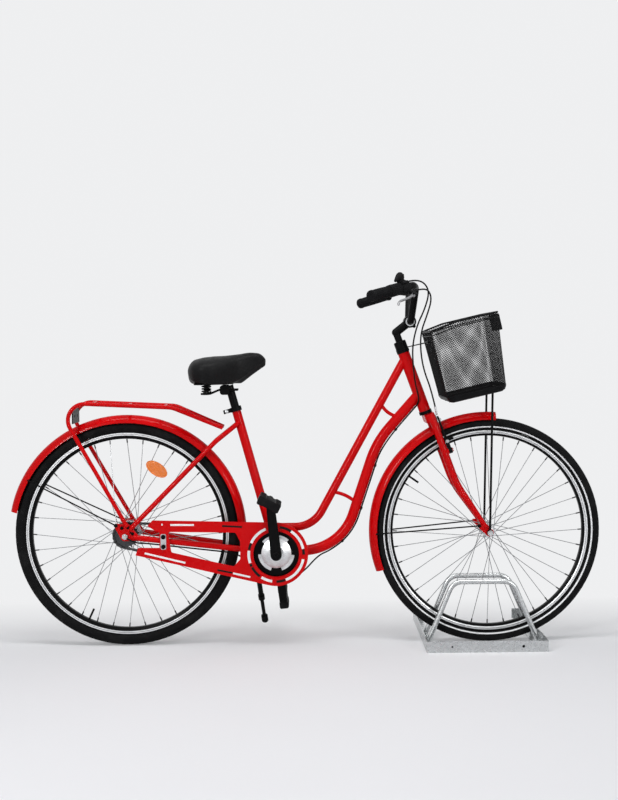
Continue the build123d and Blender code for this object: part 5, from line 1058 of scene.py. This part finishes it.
PAD_POST += [(12.2, 6), (14.6, 6.4), (16.4, 5.6), (20, 3)]
CABLE_BOLT_SHARE, CABLE_BOLT_RISE, NUT_OUT, NUT_BOLT_OUT = 0.93, 99, 57.5, 62.4


def squarish(value):
    """A sine or cosine, raised so that a circle turns into a rounded square."""
    return copysign(abs(value) ** 0.6, value)


def arm_ring(side, share, wide, thick):
    """One slice across a brake arm, at a share of the way from its boss to its head."""
    middle = ARM_OUT - ARM_LEAN * share
    ring = []
    for k in range(20):
        angle = tau * k / 20
        u, v = squarish(cos(angle)) * wide, squarish(sin(angle)) * thick
        ring.append(steer(ARM_PLANE + v, side * (middle + u), ARM_FOOT + ARM_LENGTH * share))
    return ring


def brake_arm(side, body):
    """One brake arm with its pad, bolts and nut."""
    arm, pad, bolts = Shape(), Shape(), Shape()
    out = SIDE * side
    arm.lathe(steer(ARM_PLANE, side * ARM_OUT, ARM_FOOT), STEER_AHEAD, ARM_KNUCKLE, sides=28, bored=True)
    arm.rings([arm_ring(side, *values) for values in ARM_SLICES])
    arm.lathe(steer(ARM_PLANE, side * (PAD_FACE + PAD_THICKNESS), PAD_LEVEL), out, PAD_POST, sides=20)
    piece(f"{body}_body", arm, body, "black_metal", (body,), crease=50)
    holder = steer(ARM_PLANE, side * (PAD_FACE + PAD_THICKNESS / 2), PAD_LEVEL)
    pad.bar(holder, STEER_AHEAD, SIDE, STEER_UP, (PAD_LENGTH, PAD_THICKNESS, 10), 1.6)
    for step in PAD_BLOCKS:
        pad.bar(holder + STEER_AHEAD * step / 1000, STEER_AHEAD, SIDE, STEER_UP, (10, 7, 11), 1.2)
    piece(f"{body}_pad", pad, body, "black_plastic", material=grip_rubber)
    head_out = ARM_OUT - ARM_LEAN * CABLE_BOLT_SHARE
    bolts.bolt(steer(ARM_PLANE + 5.4, side * ARM_OUT, ARM_FOOT), STEER_AHEAD, 5.4, 5.0)
    bolts.bolt(steer(ARM_PLANE + 3.0, side * head_out, ARM_FOOT + CABLE_BOLT_RISE), STEER_AHEAD, 3.4, 4.0)
    bolts.nut(steer(ARM_PLANE, side * NUT_OUT, PAD_LEVEL), out, 5.6, 5.0)
    bolts.bolt(steer(ARM_PLANE, side * NUT_BOLT_OUT, PAD_LEVEL), out, 3.0, 3.0)
    piece(f"{body}_bolts", bolts, body, "bright_steel")


brake_arm(-1, "right_brake_arm")
brake_arm(1, "left_brake_arm")

# Fittings on the steering: the cable's ferrule, a cap over the locknut, and the stem's clamp
LOCKNUT_TOP = 623.4
CLAMP_CENTRE, CLAMP_HALF_WIDTH = mm(326.5, 0, 998.4), 0.0206
ferrule, headset_cap, stem_rings, stem_bolt = Shape(), Shape(), Shape(), Shape()
ferrule.tube(brake_line[-3:], 0.0032, sides=14)
cap_profile = [(0, 11.3), (0, 18), (1.2, 18.4), (2.4, 17.6), (3, 16), (3.4, 11.3)]
headset_cap.lathe(steer(0, 0, LOCKNUT_TOP), STEER_UP, cap_profile, sides=32, bored=True)
clamp_ring = [(0, 11.3), (0, 13.8), (0.8, 14.4), (2.2, 14), (2.6, 11.4)]
for side in (-1, 1):
    stem_rings.lathe(CLAMP_CENTRE + SIDE * side * CLAMP_HALF_WIDTH, SIDE * side, clamp_ring, sides=36)
stem_bolt.bolt(CLAMP_CENTRE + mm(13, 0, -13), Vector((0.7, 0, -0.7)), 5.0, 6.0)
piece("brake_ferrule", ferrule, "steering", "bright_steel")
piece("headset_cap", headset_cap, "steering", "black_metal")
piece("stem_rings", stem_rings, "steering", "bright_steel")
piece("stem_bolt", stem_bolt, "steering", "black_metal")

# Clips that hold the gear cable, at distances along it in metres
CLIP_REACHES, CLIP_HALF_LENGTH = (0.03, 0.16, 0.3, 0.42), 0.004
clips = Shape()
clip_profile = [(0, 2.6), (0, 3.6), (1, 4), (7, 4), (8, 3.6), (8, 2.6)]
for reach in CLIP_REACHES:
    place, way = along(gear_line, reach)
    clips.lathe(place - way * CLIP_HALF_LENGTH, way, clip_profile, sides=16)
piece("cable_clips", clips, "frame", "black_plastic")

# Basket reflector: a lens let into its housing's front
LENS_OUT, LENS_DROP, LENS_SIZE = 20.5, 34, (54, 42, 3)
lens = Shape()
lens_place = in_basket(BASKET_SHIFT + BASKET_UPPER[0] / 2 + LENS_OUT, 0, BASKET_HEIGHT - LENS_DROP)
lens.bar(lens_place, SIDE, BASKET_Z, BASKET_X, LENS_SIZE, 1.0)
piece("basket_lens", lens, "steering", "lamp")

# Dark plugs fill the two holes of the stand's near bar as painted shade, where the holes show only shade: their
# places along it and their radii
STAND_X, STAND_FACE, HOLE_LEVEL = REAR_AXLE.x * 1000 + 1097.5, -140.8, 17
hole_shade = Shape()
for x, radius in ((-107.0, 3.0), (108.0, 4.5)):
    stem = [(0, radius * 0.6), (0.3, radius - 0.15), (1.9, radius - 0.15)]
    flange = [(1.9, radius + 2), (3.2, radius + 1.6)]
    hole_shade.lathe(mm(STAND_X + x, STAND_FACE, HOLE_LEVEL), SIDE, stem + flange, sides=20)
piece("stand_hole_shade", hole_shade, "stand", "black_plastic")

# Kickstand's ribbed shoe
SHOE_LENGTH, SHOE_PITCH = 0.024, 4.0
shoe = Shape()
foot, pivot = mm(-135.7, 196, 24), mm(-158.7, 45, 255)
leg_way = (foot - pivot).normalized()
ribs = []
for step in range(6):
    low = step * SHOE_PITCH
    ribs += [(low, 9.6), (low + 0.6, 10.8), (low + 2.6, 10.8), (low + 3.2, 9.6)]
shoe.lathe(foot - leg_way * SHOE_LENGTH, leg_way, [(-1, 8.0), *ribs, (24.4, 8.4)])
piece("kickstand_shoe", shoe, "kickstand", "black_plastic", material=grip_rubber)


# Studio: a sheet of paper that rises behind, soft lamps and the photograph's camera
SHEET_FRONT, SHEET_BEND, BEND_RADIUS, SHEET_TOP, SHEET_HALF_WIDTH = -12.0, 7.0, 1.6, 14.0, 30.0
SHEET_DROP = 0.0005
sheet = Shape()
profile = [(SHEET_FRONT, 0), (SHEET_BEND, 0)]
for k in range(1, 13):
    angle = radians(90 * k / 12)
    profile.append((SHEET_BEND + BEND_RADIUS * sin(angle), BEND_RADIUS * (1 - cos(angle))))
profile.append((SHEET_BEND + BEND_RADIUS, SHEET_TOP))
sheet.add(
    [(x, y, z - SHEET_DROP) for y, z in profile for x in (-SHEET_HALF_WIDTH, SHEET_HALF_WIDTH)],
    [(2 * k, 2 * k + 1, 2 * k + 3, 2 * k + 2) for k in range(len(profile) - 1)],
)
smooth_mesh("studio_sheet", sheet, studio_floor("studio paper"))


def lamp(name, place, target, size, power):
    """A large soft lamp that faces a point."""
    light = bpy.data.lights.new(name, "AREA")
    light.shape = "RECTANGLE"
    light.size, light.size_y = size
    light.energy = power
    holder = placed(name, light)
    holder.location = place
    holder.rotation_euler = (Vector(target) - Vector(place)).to_track_quat("-Z", "Y").to_euler()


lamp("overhead", (0.0, -0.9, 3.2), (0, 0.0, 0.4), (3.0, 0.8), 49)
lamp("key", (-2.3, -3.4, 1.9), (0, 0, 0.6), (0.7, 1.3), 62)
lamp("fill", (2.8, -3.2, 1.5), (0.2, 0, 0.5), (0.6, 1.3), 36)

# A dim sky that brightens upwards lights the scene, and shows as the same backdrop as the paper
world = bpy.data.worlds.new("studio")
world.use_nodes = True
sky = Nodes(world.node_tree)
direction = sky.add("ShaderNodeTexCoord", {}).outputs["Generated"]
height = sky.add("ShaderNodeSeparateXYZ", {"Vector": direction}).outputs["Z"]
ramp = sky.add("ShaderNodeValToRGB", {"Fac": height})
ramp.color_ramp.elements[0].color = colour(0.05, 0.051, 0.054)
ramp.color_ramp.elements[1].color = colour(0.42, 0.43, 0.45)
shown = sky.mix(sky.shown_rays(), ramp.outputs["Color"], BACKDROP)
sky.tree.links.new(shown, sky.tree.nodes["Background"].inputs["Color"])
bpy.context.scene.world = world

# The camera was fitted to the photograph: its place, its turns and its focal length in pixels
CAMERA_PLACE = mm(-10.292, -3622.599, 927.298)
CAMERA_YAW, CAMERA_PITCH, CAMERA_ROLL = (radians(turn) for turn in (0.3778, 2.6626, -0.4945))
FOCAL_PIXELS, IMAGE_HEIGHT, SENSOR = 1170.053, 800, 36.0
level = Vector((cos(CAMERA_YAW), -sin(CAMERA_YAW), 0))
forward = Vector((sin(CAMERA_YAW), cos(CAMERA_YAW), 0))
ahead = forward * cos(CAMERA_PITCH) - Vector((0, 0, sin(CAMERA_PITCH)))
upright = level.cross(ahead)
right = level * cos(CAMERA_ROLL) + upright * sin(CAMERA_ROLL)
above = upright * cos(CAMERA_ROLL) - level * sin(CAMERA_ROLL)
camera_data = bpy.data.cameras.new("camera")
camera_data.sensor_width = SENSOR
camera_data.lens = SENSOR * FOCAL_PIXELS / IMAGE_HEIGHT
camera = placed("camera", camera_data)
facing = Matrix((right, above, -ahead)).transposed().to_4x4()
camera.matrix_world = Matrix.Translation(CAMERA_PLACE) @ facing
bpy.context.scene.camera = camera
bpy.context.scene.view_settings.view_transform = "Standard"
